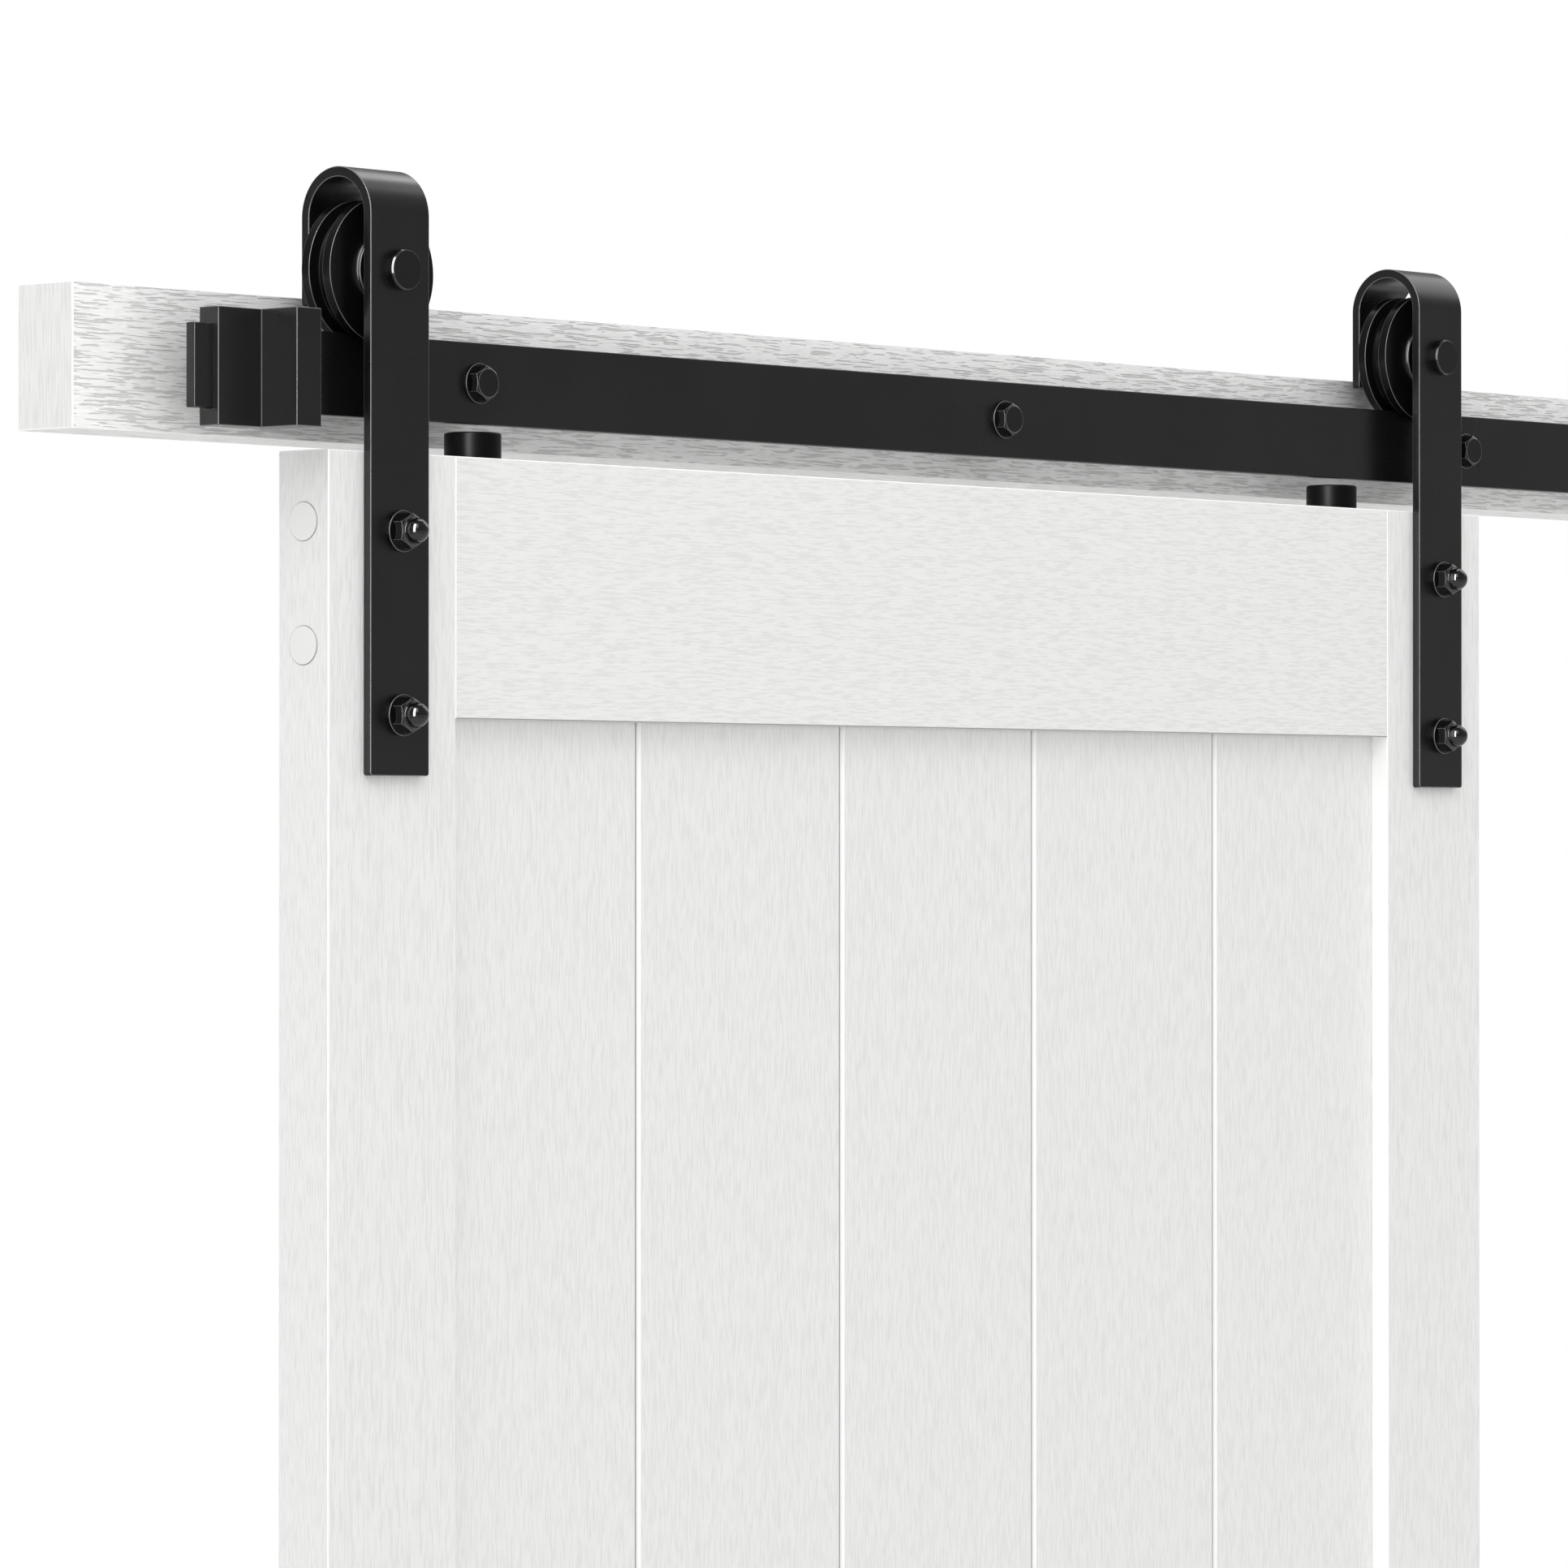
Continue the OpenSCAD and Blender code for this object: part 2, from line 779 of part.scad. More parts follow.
// Left anti-jump disc
module anti_jump_disc_left() {
    anti_jump_disc(disc_xs[0]);
}

// Right anti-jump disc
module anti_jump_disc_right() {
    anti_jump_disc(disc_xs[1]);
}

// Wood screws that hold the anti-jump discs on the top rail
module disc_screws() {
    seat = door_top + disc_h - disc_head_h;
    color(steel) for (x = disc_xs)
        translate([x, track_mid, 0])
            union() {
                translate([0, 0, seat])
                    cylinder(h = disc_head_h - disc_head_low, d = disc_head_dia);
                translate([0, 0, seat - disc_screw_len])
                    cylinder(h = disc_screw_len, d = disc_screw_dia);
            }
}

header_board();
rail_left();
rail_right();
for (i = [0:4])
    rail_spacer(i);
lag_screws();
stop_left();
stop_right();
stop_set_screws();
left_stile();
right_stile();
top_rail();
bottom_rail();
for (i = [0:plank_count - 1])
    plank(i);
frame_bolts();
screw_caps();
hanger_left();
hanger_right();
hanger_bolts();
hanger_washers();
dome_nuts();
axle_left();
axle_right();
axle_nuts();
for (i = sides) {
    front_sleeve(hanger_xs[i]);
    back_sleeve(hanger_xs[i]);
    bearing_inner(hanger_xs[i]);
    bearing_outer(hanger_xs[i]);
}
wheel_left();
wheel_right();
anti_jump_disc_left();
anti_jump_disc_right();
disc_screws();
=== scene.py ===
# %% [markdown]
# # A sliding barn door, finished for the studio
# The door hangs on two bent straps. Each strap carries a grooved roller, and the rollers run on a flat
# steel bar that stands off a white header board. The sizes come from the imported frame, so every
# piece here is made in metres, right where it belongs, and nothing is moved afterwards.

# %% Load the frame
import json
import math

import bmesh
import bpy
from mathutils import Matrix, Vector


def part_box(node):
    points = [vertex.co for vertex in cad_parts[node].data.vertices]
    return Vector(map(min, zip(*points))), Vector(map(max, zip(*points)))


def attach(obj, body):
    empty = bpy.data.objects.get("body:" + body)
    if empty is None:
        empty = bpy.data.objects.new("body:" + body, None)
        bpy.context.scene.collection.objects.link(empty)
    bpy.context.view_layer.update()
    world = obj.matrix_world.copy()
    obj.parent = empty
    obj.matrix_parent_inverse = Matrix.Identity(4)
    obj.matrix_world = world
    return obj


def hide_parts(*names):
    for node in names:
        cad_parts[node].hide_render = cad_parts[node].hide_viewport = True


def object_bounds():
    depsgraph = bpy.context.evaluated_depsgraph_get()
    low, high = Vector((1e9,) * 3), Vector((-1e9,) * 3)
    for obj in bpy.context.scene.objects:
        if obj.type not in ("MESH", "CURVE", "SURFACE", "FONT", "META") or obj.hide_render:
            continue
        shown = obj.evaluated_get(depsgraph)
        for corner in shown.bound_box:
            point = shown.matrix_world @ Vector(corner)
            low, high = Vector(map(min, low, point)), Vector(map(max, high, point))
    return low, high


scene = bpy.context.scene
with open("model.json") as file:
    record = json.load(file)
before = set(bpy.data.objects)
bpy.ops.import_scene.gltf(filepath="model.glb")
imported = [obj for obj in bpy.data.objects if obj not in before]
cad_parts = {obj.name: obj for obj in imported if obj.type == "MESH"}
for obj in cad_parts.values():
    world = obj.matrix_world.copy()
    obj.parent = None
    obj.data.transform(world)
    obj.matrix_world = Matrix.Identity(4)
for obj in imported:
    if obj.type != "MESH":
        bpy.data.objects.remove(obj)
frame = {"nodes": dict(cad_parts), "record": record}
cad_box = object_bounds()

# %% [markdown]
# Two small tables save typing later on. The first says which body carries a node, and the second says
# which material slot the record gives it. The place of a node is read from its box.

# %% Where things are
MM = 0.001
record = frame["record"]
BODY_OF = {node: body for body, nodes in record["behaviour"]["bodies"].items() for node in nodes}
SLOT_OF = {part["node"]: part["material_slot"] for part in record["subparts"]}


def span(node):
    """Lowest corner, highest corner and middle of a node."""
    low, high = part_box(node)
    return low, high, (low + high) / 2


door_front = span("left_stile")[0].y
door_back = span("left_stile")[1].y
track_front = span("rail_left")[0].y
strap_front = span("hanger_left")[0].y
strap_back = span("hanger_left")[1].y
door_middle = (span("left_stile")[0] + span("right_stile")[1]) / 2
door_top = span("left_stile")[1].z
print("strap front", round(strap_front / MM, 1), "mm; door front", round(door_front / MM, 1), "mm")

# %% [markdown]
# ## The studio
# White doors are shown in a white room, but black steel looks best when it mirrors something darker.
# Here the world does both: the Light Path node lets the camera see plain white, gives matt surfaces an
# even, slightly lower light, and lets glossy ones mirror a dim room that stands on a lighter floor.

# %% World
ROOM_LIGHT = 0.99
ROOM_MIRRORED = 0.3
FLOOR_MIRRORED = 0.62
SEEN_WHITE = 1.0
HORIZON_LOW, HORIZON_HIGH = -0.1, 0.04
MIX_FACTOR, MIX_A, MIX_B = 0, 2, 3

world = bpy.data.worlds.new("white_room")
scene.world = world
world.use_nodes = True
world.cycles.sampling_method = "NONE"
scene.view_settings.view_transform = "Standard"
room = world.node_tree
backdrop = room.nodes["Background"]
backdrop.inputs["Strength"].default_value = 1.0
direction = room.nodes.new("ShaderNodeTexCoord")
height = room.nodes.new("ShaderNodeSeparateXYZ")
room.links.new(direction.outputs["Generated"], height.inputs[0])
horizon = room.nodes.new("ShaderNodeMapRange")
horizon.interpolation_type = "SMOOTHSTEP"
horizon.inputs["From Min"].default_value = HORIZON_LOW
horizon.inputs["From Max"].default_value = HORIZON_HIGH
horizon.inputs["To Min"].default_value = FLOOR_MIRRORED
horizon.inputs["To Max"].default_value = ROOM_MIRRORED
room.links.new(height.outputs[2], horizon.inputs["Value"])
ray = room.nodes.new("ShaderNodeLightPath")
glossy_or_matt = room.nodes.new("ShaderNodeMix")
glossy_or_matt.inputs[MIX_A].default_value = ROOM_LIGHT
room.links.new(ray.outputs["Is Glossy Ray"], glossy_or_matt.inputs[MIX_FACTOR])
room.links.new(horizon.outputs[0], glossy_or_matt.inputs[MIX_B])
seen_or_not = room.nodes.new("ShaderNodeMix")
seen_or_not.inputs[MIX_B].default_value = SEEN_WHITE
room.links.new(ray.outputs["Is Camera Ray"], seen_or_not.inputs[MIX_FACTOR])
room.links.new(glossy_or_matt.outputs[0], seen_or_not.inputs[MIX_A])
room.links.new(seen_or_not.outputs[0], backdrop.inputs["Color"])
print("room light", ROOM_LIGHT, "mirrored", ROOM_MIRRORED, "over", FLOOR_MIRRORED)

# %% [markdown]
# A long lens from four metres away keeps the door's upright edges parallel. The camera stands to the
# left and just below the track, so the undersides of the header and the track show.

# %% Camera
CAMERA_AT = Vector((-3.3583, -2.5557, -0.2333))
CAMERA_TURN = math.radians(48.07)
CAMERA_RISE = math.radians(0.55)
LENS_MM = 167.3
SENSOR_MM = 36.0
NEAREST, FURTHEST = 0.1, 50.0

camera_data = bpy.data.cameras.new("camera")
camera_data.lens = LENS_MM
camera_data.sensor_width = SENSOR_MM
camera_data.clip_start = NEAREST
camera_data.clip_end = FURTHEST
camera = bpy.data.objects.new("camera", camera_data)
camera.location = CAMERA_AT
camera.rotation_euler = (math.pi / 2 + CAMERA_RISE, 0.0, -CAMERA_TURN)
scene.collection.objects.link(camera)
scene.camera = camera
print("camera", round(CAMERA_AT.length, 2), "m from the header")

# %% [markdown]
# A key panel in front and to the left gives the boards their shape: faces that look right or down stay
# a little darker, and so does the left side of each joint between planks, which also has a painted
# shadow. The other panels are strips that only glossy surfaces mirror. They draw the thin bright line on
# each rounded edge, which painted highlights strengthen on many pieces, the tall bar on the dome nuts
# and the sheen over the bend of the straps, and leave the white boards as they are.

# %% Soft panels
STUDIO_MIDDLE = Vector((-0.5, -0.05, -0.1))
# name, direction from the middle, distance, width, height, radiance, only mirrored
PANELS = (
    ("key_panel", (-0.70, -0.55, 0.80), 4.4, 2.8, 2.8, 2.1, False),
    ("tall_strip", (-0.80, -0.35, 0.36), 3.2, 1.1, 4.4, 22.0, True),
    ("top_strip", (0.40, 0.30, 0.85), 3.0, 1.8, 1.8, 2.6, True),
    ("side_strip", (0.80, -0.05, 0.60), 2.6, 1.6, 1.6, 1.5, True),
)

for name, towards, distance, width, height, radiance, only_mirrored in PANELS:
    lamp = bpy.data.lights.new(name, "AREA")
    lamp.shape = "RECTANGLE"
    lamp.size = width
    lamp.size_y = height
    lamp.energy = radiance * math.pi * width * height
    holder = bpy.data.objects.new(name, lamp)
    holder.location = STUDIO_MIDDLE + Vector(towards).normalized() * distance
    holder.rotation_euler = (STUDIO_MIDDLE - holder.location).to_track_quat("-Z", "Y").to_euler()
    holder.visible_diffuse = not only_mirrored
    scene.collection.objects.link(holder)
print("panels:", [light.name for light in bpy.data.lights])

# %% [markdown]
# The floor is one matt square, 10 mm below the door. It is part of the stage and not of the object.

# %% Floor
FLOOR_GAP = 10 * MM
FLOOR_SIDE = 9.0
FLOOR_GREY = (0.8, 0.8, 0.79, 1.0)
FLOOR_ROUGHNESS = 0.9

floor_mesh = bpy.data.meshes.new("floor")
bm = bmesh.new()
bmesh.ops.create_grid(bm, x_segments=1, y_segments=1, size=FLOOR_SIDE / 2)
bmesh.ops.translate(bm, verts=bm.verts, vec=(0, 0, cad_box[0].z - FLOOR_GAP))
bm.to_mesh(floor_mesh)
bm.free()
floor = bpy.data.objects.new("floor", floor_mesh)
scene.collection.objects.link(floor)
floor_paint = bpy.data.materials.new("floor_paint")
floor_paint.use_nodes = True
floor_shader = floor_paint.node_tree.nodes["Principled BSDF"]
floor_shader.inputs["Base Color"].default_value = FLOOR_GREY
floor_shader.inputs["Roughness"].default_value = FLOOR_ROUGHNESS
floor_mesh.materials.append(floor_paint)
print("floor", FLOOR_SIDE, "m square")

# %% [markdown]
# ## Finishes
# Three effects are node groups, so a finish only has to say how large and how strong they are. The first
# is the grain that is pressed into white laminate, and all the boards share it. The second is a set of
# separate deeper strokes, for the coarse foil on the header. The third is the faint unevenness of a
# sprayed or moulded skin, which all the fittings share. Noise seldom leaves NOISE_LOW to NOISE_HIGH.

# %% Small helpers for node trees
FLOAT, VECTOR = "NodeSocketFloat", "NodeSocketVector"
NOISE_LOW, NOISE_HIGH = 0.3, 0.7


def new_group(name, inputs, outputs):
    """An empty shader node group with float or vector sockets, and its input and output nodes."""
    group = bpy.data.node_groups.new(name, "ShaderNodeTree")
    for socket, kind, value in inputs:
        made = group.interface.new_socket(socket, in_out="INPUT", socket_type=kind)
        if value is not None:
            made.default_value = value
    for socket, kind in outputs:
        group.interface.new_socket(socket, in_out="OUTPUT", socket_type=kind)
    return group, group.nodes.new("NodeGroupInput"), group.nodes.new("NodeGroupOutput")


def feed(tree, socket, value):
    """Sets a socket to a number, or links another socket to it."""
    if isinstance(value, (int, float)):
        socket.default_value = value
    else:
        tree.links.new(value, socket)


def math_node(tree, operation, first, second):
    """A Math node whose inputs are numbers or sockets. Returns its output socket."""
    node = tree.nodes.new("ShaderNodeMath")
    node.operation = operation
    feed(tree, node.inputs[0], first)
    feed(tree, node.inputs[1], second)
    return node.outputs[0]


def range_node(tree, value, lowest, highest, start=0.0, end=1.0):
    """A smooth Map Range node. Its limits are numbers or sockets. Returns its output socket."""
    node = tree.nodes.new("ShaderNodeMapRange")
    node.interpolation_type = "SMOOTHSTEP"
    tree.links.new(value, node.inputs["Value"])
    for name, limit in (("From Min", lowest), ("From Max", highest), ("To Min", start), ("To Max", end)):
        feed(tree, node.inputs[name], limit)
    return node.outputs[0]


def noise_node(tree, vector, scale, detail=2.0, roughness=0.5):
    """A Noise texture read at a vector. Returns its value socket."""
    node = tree.nodes.new("ShaderNodeTexNoise")
    node.inputs["Scale"].default_value = scale
    node.inputs["Detail"].default_value = detail
    node.inputs["Roughness"].default_value = roughness
    tree.links.new(vector, node.inputs["Vector"])
    return node.outputs["Fac"]


def stretched(tree, vector, length, width, drift=None):
    """A vector divided by a length along X and by a width across it, with an optional sideways drift."""
    split = tree.nodes.new("ShaderNodeSeparateXYZ")
    tree.links.new(vector, split.inputs[0])
    joined = tree.nodes.new("ShaderNodeCombineXYZ")
    for index, size in enumerate((length, width, width)):
        place = split.outputs[index]
        if drift is not None and index > 0:
            place = math_node(tree, "ADD", place, drift)
        tree.links.new(math_node(tree, "DIVIDE", place, size), joined.inputs[index])
    return joined.outputs[0]


# %% [markdown]
# Fine grain is plain noise, squeezed across the board and drawn out along it. A second, slower noise
# makes some patches deeper than others, as a worn embossing roll does.

# %% Fine grain group
PATCH_LENGTH, PATCH_WIDTH = 50 * MM, 12 * MM
PATCH_FAINTEST = 0.5
TONE_LOW, TONE_HIGH = 0.3, 0.6


def make_fine_grain():
    """Fine streaks along X. Length and Width are the size of one streak in metres."""
    group, inside, outside = new_group(
        "fine_grain",
        [("Vector", VECTOR, None), ("Length", FLOAT, 6 * MM), ("Width", FLOAT, 0.8 * MM)],
        [("Height", FLOAT), ("Tone", FLOAT)],
    )
    vector = inside.outputs["Vector"]
    along = stretched(group, vector, inside.outputs["Length"], inside.outputs["Width"])
    streaks = noise_node(group, along, 1.0, 1.0)
    patches = noise_node(group, stretched(group, vector, PATCH_LENGTH, PATCH_WIDTH), 1.0, 1.0)
    depth = range_node(group, patches, NOISE_LOW, NOISE_HIGH, PATCH_FAINTEST, 1.0)
    group.links.new(math_node(group, "MULTIPLY", streaks, depth), outside.inputs["Height"])
    group.links.new(range_node(group, streaks, TONE_LOW, TONE_HIGH), outside.inputs["Tone"])
    return group


FINE_GRAIN = make_fine_grain()
print("fine grain with", len(FINE_GRAIN.nodes), "nodes")

# %% [markdown]
# The coarse strokes are noise drawn out much further, and cut off near its peaks, so that only separate
# dashes are left. A slow drift bends them a little. Each dash is dark grain with painted shade in its
# groove. The same noise read a hair lower marks the lower lip of each dash, which gets a painted
# highlight.

# %% Coarse stroke group
DRIFT_SCALE = 90.0
STROKE_FADE = 0.10


def make_strokes():
    """Thin separate strokes along X, pressed into the surface, each with a painted highlight on the lip
    below it.
    """
    group, inside, outside = new_group(
        "pressed_strokes",
        [("Vector", VECTOR, None), ("Length", FLOAT, 11 * MM), ("Width", FLOAT, 1.4 * MM)]
        + [("Cover", FLOAT, 0.56), ("Drift", FLOAT, 1 * MM), ("Lip", FLOAT, 0.5 * MM)],
        [("Height", FLOAT), ("Tone", FLOAT), ("Lit", FLOAT)],
    )
    vector = inside.outputs["Vector"]
    wander = math_node(group, "SUBTRACT", noise_node(group, vector, DRIFT_SCALE, 2.0), 0.5)
    wander = math_node(group, "MULTIPLY", wander, inside.outputs["Drift"])
    peak = math_node(group, "ADD", inside.outputs["Cover"], STROKE_FADE)

    def dashes(shift):
        """The peaks of the drawn-out noise, read at a sideways shift."""
        along = stretched(group, vector, inside.outputs["Length"], inside.outputs["Width"], shift)
        return range_node(group, noise_node(group, along, 1.0, 1.0), inside.outputs["Cover"], peak)

    strokes = dashes(wander)
    below = dashes(math_node(group, "ADD", wander, inside.outputs["Lip"]))
    # Mask of each lower lip, where the painted highlight goes.
    painted_lip_highlight = math_node(group, "MULTIPLY", below, math_node(group, "SUBTRACT", 1.0, strokes))
    group.links.new(math_node(group, "MULTIPLY", strokes, -1.0), outside.inputs["Height"])
    group.links.new(strokes, outside.inputs["Tone"])
    group.links.new(painted_lip_highlight, outside.inputs["Lit"])
    return group


STROKES = make_strokes()
print("strokes with", len(STROKES.nodes), "nodes")

# %% [markdown]
# The skin's height is fine noise of one size. Its shine is a far slower noise, so that some places are
# a little duller than others.

# %% Skin group
SHINE_SCALE = 22.0


def make_skin():
    """The soft orange peel of a sprayed or moulded surface, and slow changes in its shine."""
    group, inside, outside = new_group(
        "coated_skin",
        [("Vector", VECTOR, None), ("Size", FLOAT, 1 * MM)],
        [("Height", FLOAT), ("Shine", FLOAT)],
    )
    scaled = stretched(group, inside.outputs["Vector"], inside.outputs["Size"], inside.outputs["Size"])
    group.links.new(noise_node(group, scaled, 1.0, 2.0, 0.6), outside.inputs["Height"])
    shine = noise_node(group, inside.outputs["Vector"], SHINE_SCALE, 3.0)
    group.links.new(shine, outside.inputs["Shine"])
    return group


SKIN = make_skin()
print("skin with", len(SKIN.nodes), "nodes")

# %% [markdown]
# Every finish starts from the same Principled shader. The helpers below set its even numbers, place a
# shared group, feed a height into its normal, and mix its base colour from two tones.

# %% Material helpers
COLOUR_A, COLOUR_B, COLOUR_RESULT = 6, 7, 2


def begin(name, colour, roughness, specular=0.5):
    """A material with its Principled shader set to a colour, a roughness and a specular level."""
    material = bpy.data.materials.new(name)
    material.use_nodes = True
    shader = material.node_tree.nodes["Principled BSDF"]
    shader.inputs["Base Color"].default_value = (*colour, 1.0)
    shader.inputs["Roughness"].default_value = roughness
    shader.inputs["Specular IOR Level"].default_value = specular
    return material, material.node_tree, shader


def use_group(tree, group, vector, **values):
    """Places a shared group in a material, reads it at a vector and gives it its own numbers."""
    node = tree.nodes.new("ShaderNodeGroup")
    node.node_tree = group
    tree.links.new(vector, node.inputs["Vector"])
    for socket, value in values.items():
        node.inputs[socket].default_value = value
    return node


def bump(tree, shader, height, distance, under=None):
    """Feeds a height into the shader's normal through a Bump node, over another bump if given."""
    node = tree.nodes.new("ShaderNodeBump")
    node.inputs["Distance"].default_value = distance
    tree.links.new(height, node.inputs["Height"])
    if under is not None:
        tree.links.new(under, node.inputs["Normal"])
    tree.links.new(node.outputs["Normal"], shader.inputs["Normal"])
    return node.outputs["Normal"]


def two_tone(tree, shader, factor, plain, deep):
    """Mixes the base colour from one tone to another. A tone is a colour or a socket."""
    mix = tree.nodes.new("ShaderNodeMix")
    mix.data_type = "RGBA"
    for index, tone in ((COLOUR_A, plain), (COLOUR_B, deep)):
        if isinstance(tone, tuple):
            mix.inputs[index].default_value = (*tone, 1.0)
        else:
            tree.links.new(tone, mix.inputs[index])
    tree.links.new(factor, mix.inputs["Factor"])
    tree.links.new(mix.outputs[COLOUR_RESULT], shader.inputs["Base Color"])
    return mix.outputs[COLOUR_RESULT]


# %% [markdown]
# The boards are wrapped in laminate, and its grain follows each board. The noise runs along X, so a
# Mapping node turns it upright for a board that stands, and for the header's sawn ends. The header's
# foil has pressed strokes too: dark grain with painted shade in each groove, and a painted highlight on
# the lip under each. Two plain finishes go with the laminate: a near-white painted highlight for eased
# edges, and a grey painted shadow for joints and shadow gaps.

# %% White laminate
WHITE = (0.80, 0.80, 0.795)
FINE_SHADE = (0.72, 0.72, 0.715)
HEADER_WHITE = (0.92, 0.92, 0.915)
# The header's ends: a darker copy of the header's white as painted shade where the key light falls, with
# upright grain.
END_WHITE_PAINTED_SHADE = (0.79, 0.79, 0.785)
END_GRAIN_PAINTED_SHADE = (0.70, 0.70, 0.695)
HEADER_SHADE = (0.86, 0.86, 0.855)
# Dark tone of the header strokes: grain, and painted shade in each pressed groove.
STROKE_GRAIN_AND_PAINTED_SHADE = (0.67, 0.67, 0.665)
LIP_PAINTED_HIGHLIGHT = (0.98, 0.98, 0.975)
# Near-white painted highlight for eased board edges, lit plank flanks and stile walls beside the planks.
PAINTED_HIGHLIGHT_TONE = (0.97, 0.97, 0.965)
# Grey painted shadow: the dark line in plank joints, under the top rail and round the caps.
PAINTED_SHADOW_GREY = (0.34, 0.34, 0.335)
LAMINATE_ROUGHNESS = 0.42
LAMINATE_SPECULAR = 0.4


def laminate(name, length, width, depth, standing=False, tones=(WHITE, FINE_SHADE), strokes=None):
    """White laminate with grain along X, or along Z for a standing board. Sizes are in metres."""
    material, tree, shader = begin(name, tones[0], LAMINATE_ROUGHNESS, LAMINATE_SPECULAR)
    place = tree.nodes.new("ShaderNodeTexCoord")
    vector = place.outputs["Object"]
    if standing:
        upright = tree.nodes.new("ShaderNodeMapping")
        upright.inputs["Rotation"].default_value = (0.0, math.pi / 2, 0.0)
        tree.links.new(vector, upright.inputs["Vector"])
        vector = upright.outputs[0]
    grain = use_group(tree, FINE_GRAIN, vector, Length=length, Width=width)
    relief = bump(tree, shader, grain.outputs["Height"], depth)
    colour = two_tone(tree, shader, grain.outputs["Tone"], tones[1], tones[0])
    if strokes is not None:
        pores = use_group(tree, STROKES, vector, **strokes["sizes"])
        bump(tree, shader, pores.outputs["Height"], strokes["depth"], relief)
        # Stroke grain together with its painted groove shade.
        colour = two_tone(tree, shader, pores.outputs["Tone"], colour, STROKE_GRAIN_AND_PAINTED_SHADE)
        # Painted highlight on the lower lip of each stroke.
        two_tone(tree, shader, pores.outputs["Lit"], colour, LIP_PAINTED_HIGHLIGHT)
    return material


HEADER_STROKES = {
    "sizes": {"Length": 0.016, "Width": 0.0008, "Cover": 0.54, "Drift": 0.0009, "Lip": 0.0004},
    "depth": 0.0003,
}
HEADER_FINISH = laminate(
    "laminate_header", 0.007, 0.0008, 0.00012, tones=(HEADER_WHITE, HEADER_SHADE), strokes=HEADER_STROKES
)
# Sawn ends with upright grain, in a darker white that is painted shade.
END_PAINTED_SHADE_FINISH = laminate("laminate_end_painted_shade", 0.02, 0.0010, 0.00010, standing=True, tones=(END_WHITE_PAINTED_SHADE, END_GRAIN_PAINTED_SHADE))
LYING_FINISH = laminate("laminate_lying", 0.009, 0.0008, 0.00020)
STANDING_FINISH = laminate("laminate_standing", 0.012, 0.0008, 0.00018, standing=True)
PAINTED_HIGHLIGHT_FINISH = begin("painted_highlight_white", PAINTED_HIGHLIGHT_TONE, LAMINATE_ROUGHNESS, LAMINATE_SPECULAR)[0]
PAINTED_SHADOW_FINISH = begin("painted_shadow_grey", PAINTED_SHADOW_GREY, LAMINATE_ROUGHNESS, LAMINATE_SPECULAR)[0]
print("laminates:", HEADER_FINISH.name, LYING_FINISH.name, STANDING_FINISH.name)

# %% [markdown]
# The black steel is powder coated: dark, even and satin, with an orange peel too faint to see from
# afar. The dome nuts are glossier, the hexagonal and axle heads are oiled black, and the rollers and
# discs are moulded nylon. One function makes all of these, and only the numbers change. The bright parts
# are zinc plated, so they are metallic. A paler dark grey is painted on eased edges and rims of black
# pieces as a painted highlight.

# %% Coated and plated finishes
SHINE_SPREAD = 0.03


def coated(name, colour, roughness, specular, peel, depth, metallic=0.0):
    """A coated, moulded or plated surface with a fine skin."""
    material, tree, shader = begin(name, colour, roughness, specular)
    shader.inputs["Metallic"].default_value = metallic
    place = tree.nodes.new("ShaderNodeTexCoord")
    skin = use_group(tree, SKIN, place.outputs["Object"], Size=peel)
    dullest, glossiest = roughness + SHINE_SPREAD, roughness - SHINE_SPREAD
    shine = range_node(tree, skin.outputs["Shine"], NOISE_LOW, NOISE_HIGH, glossiest, dullest)
    tree.links.new(shine, shader.inputs["Roughness"])
    bump(tree, shader, skin.outputs["Height"], depth)
    return material


FINISHES = {
    "white_plastic": coated("cap_plastic", (0.78, 0.78, 0.775), 0.35, 0.4, 0.002, 0.000010),
    "black_steel": coated("powder_coat", (0.004, 0.004, 0.004), 0.28, 0.5, 0.0009, 0.000005),
    "black_gloss": coated("glossy_coat", (0.003, 0.003, 0.003), 0.06, 0.6, 0.0020, 0.000001),
    "black_nylon": coated("black_nylon", (0.003, 0.003, 0.003), 0.26, 0.22, 0.0012, 0.000005),
    "bright_steel": coated("zinc_plate", (0.55, 0.56, 0.57), 0.28, 0.5, 0.0015, 0.000006, 1.0),
}
# Dark grey painted highlight for the eased edges and rims of black pieces.
PAINTED_HIGHLIGHT_DARK_FINISH = begin("painted_highlight_dark", (0.12, 0.12, 0.12), 0.3)[0]
HEAD_FINISH = coated("oiled_black", (0.003, 0.003, 0.003), 0.13, 0.5, 0.0015, 0.000002)
DISC_FINISH = coated("dull_nylon", (0.0015, 0.0015, 0.0015), 0.38, 0.12, 0.0012, 0.000005)
print("finishes:", sorted(FINISHES))

# %% [markdown]
# ## Making pieces
# A real edge is never perfectly sharp: a rounded edge catches the light, and that thin line is most of
# what makes steel look like steel. So every piece gets its edges eased with the bevel operator, and a
# Weighted Normal modifier keeps the flats flat. On many black pieces the eased faces also get a dark grey
# painted highlight, which strengthens that thin line.

# %% Piece helpers
MERGED = 0.0005 * MM
NODE_MERGED = 0.002 * MM
FLAT_WITHIN = math.radians(0.5)
TOUCHING = 0.01 * MM


def ease(bm, edges, width, segments=3, clamp=True):
    """Rounds the given edges with the bevel operator. Returns the faces it made."""
    shape = {"offset_type": "OFFSET", "affect": "EDGES", "profile": 0.5, "material": -1}
    made = bmesh.ops.bevel(
        bm, geom=edges, offset=width, segments=segments, clamp_overlap=clamp, **shape
    )
    return made["faces"]


def give_second_finish(faces):
    """Gives faces the second finish of their piece: the painted highlight, or the painted shadow on a
    cap.
    """
    for face in faces:
        face.material_index = 1


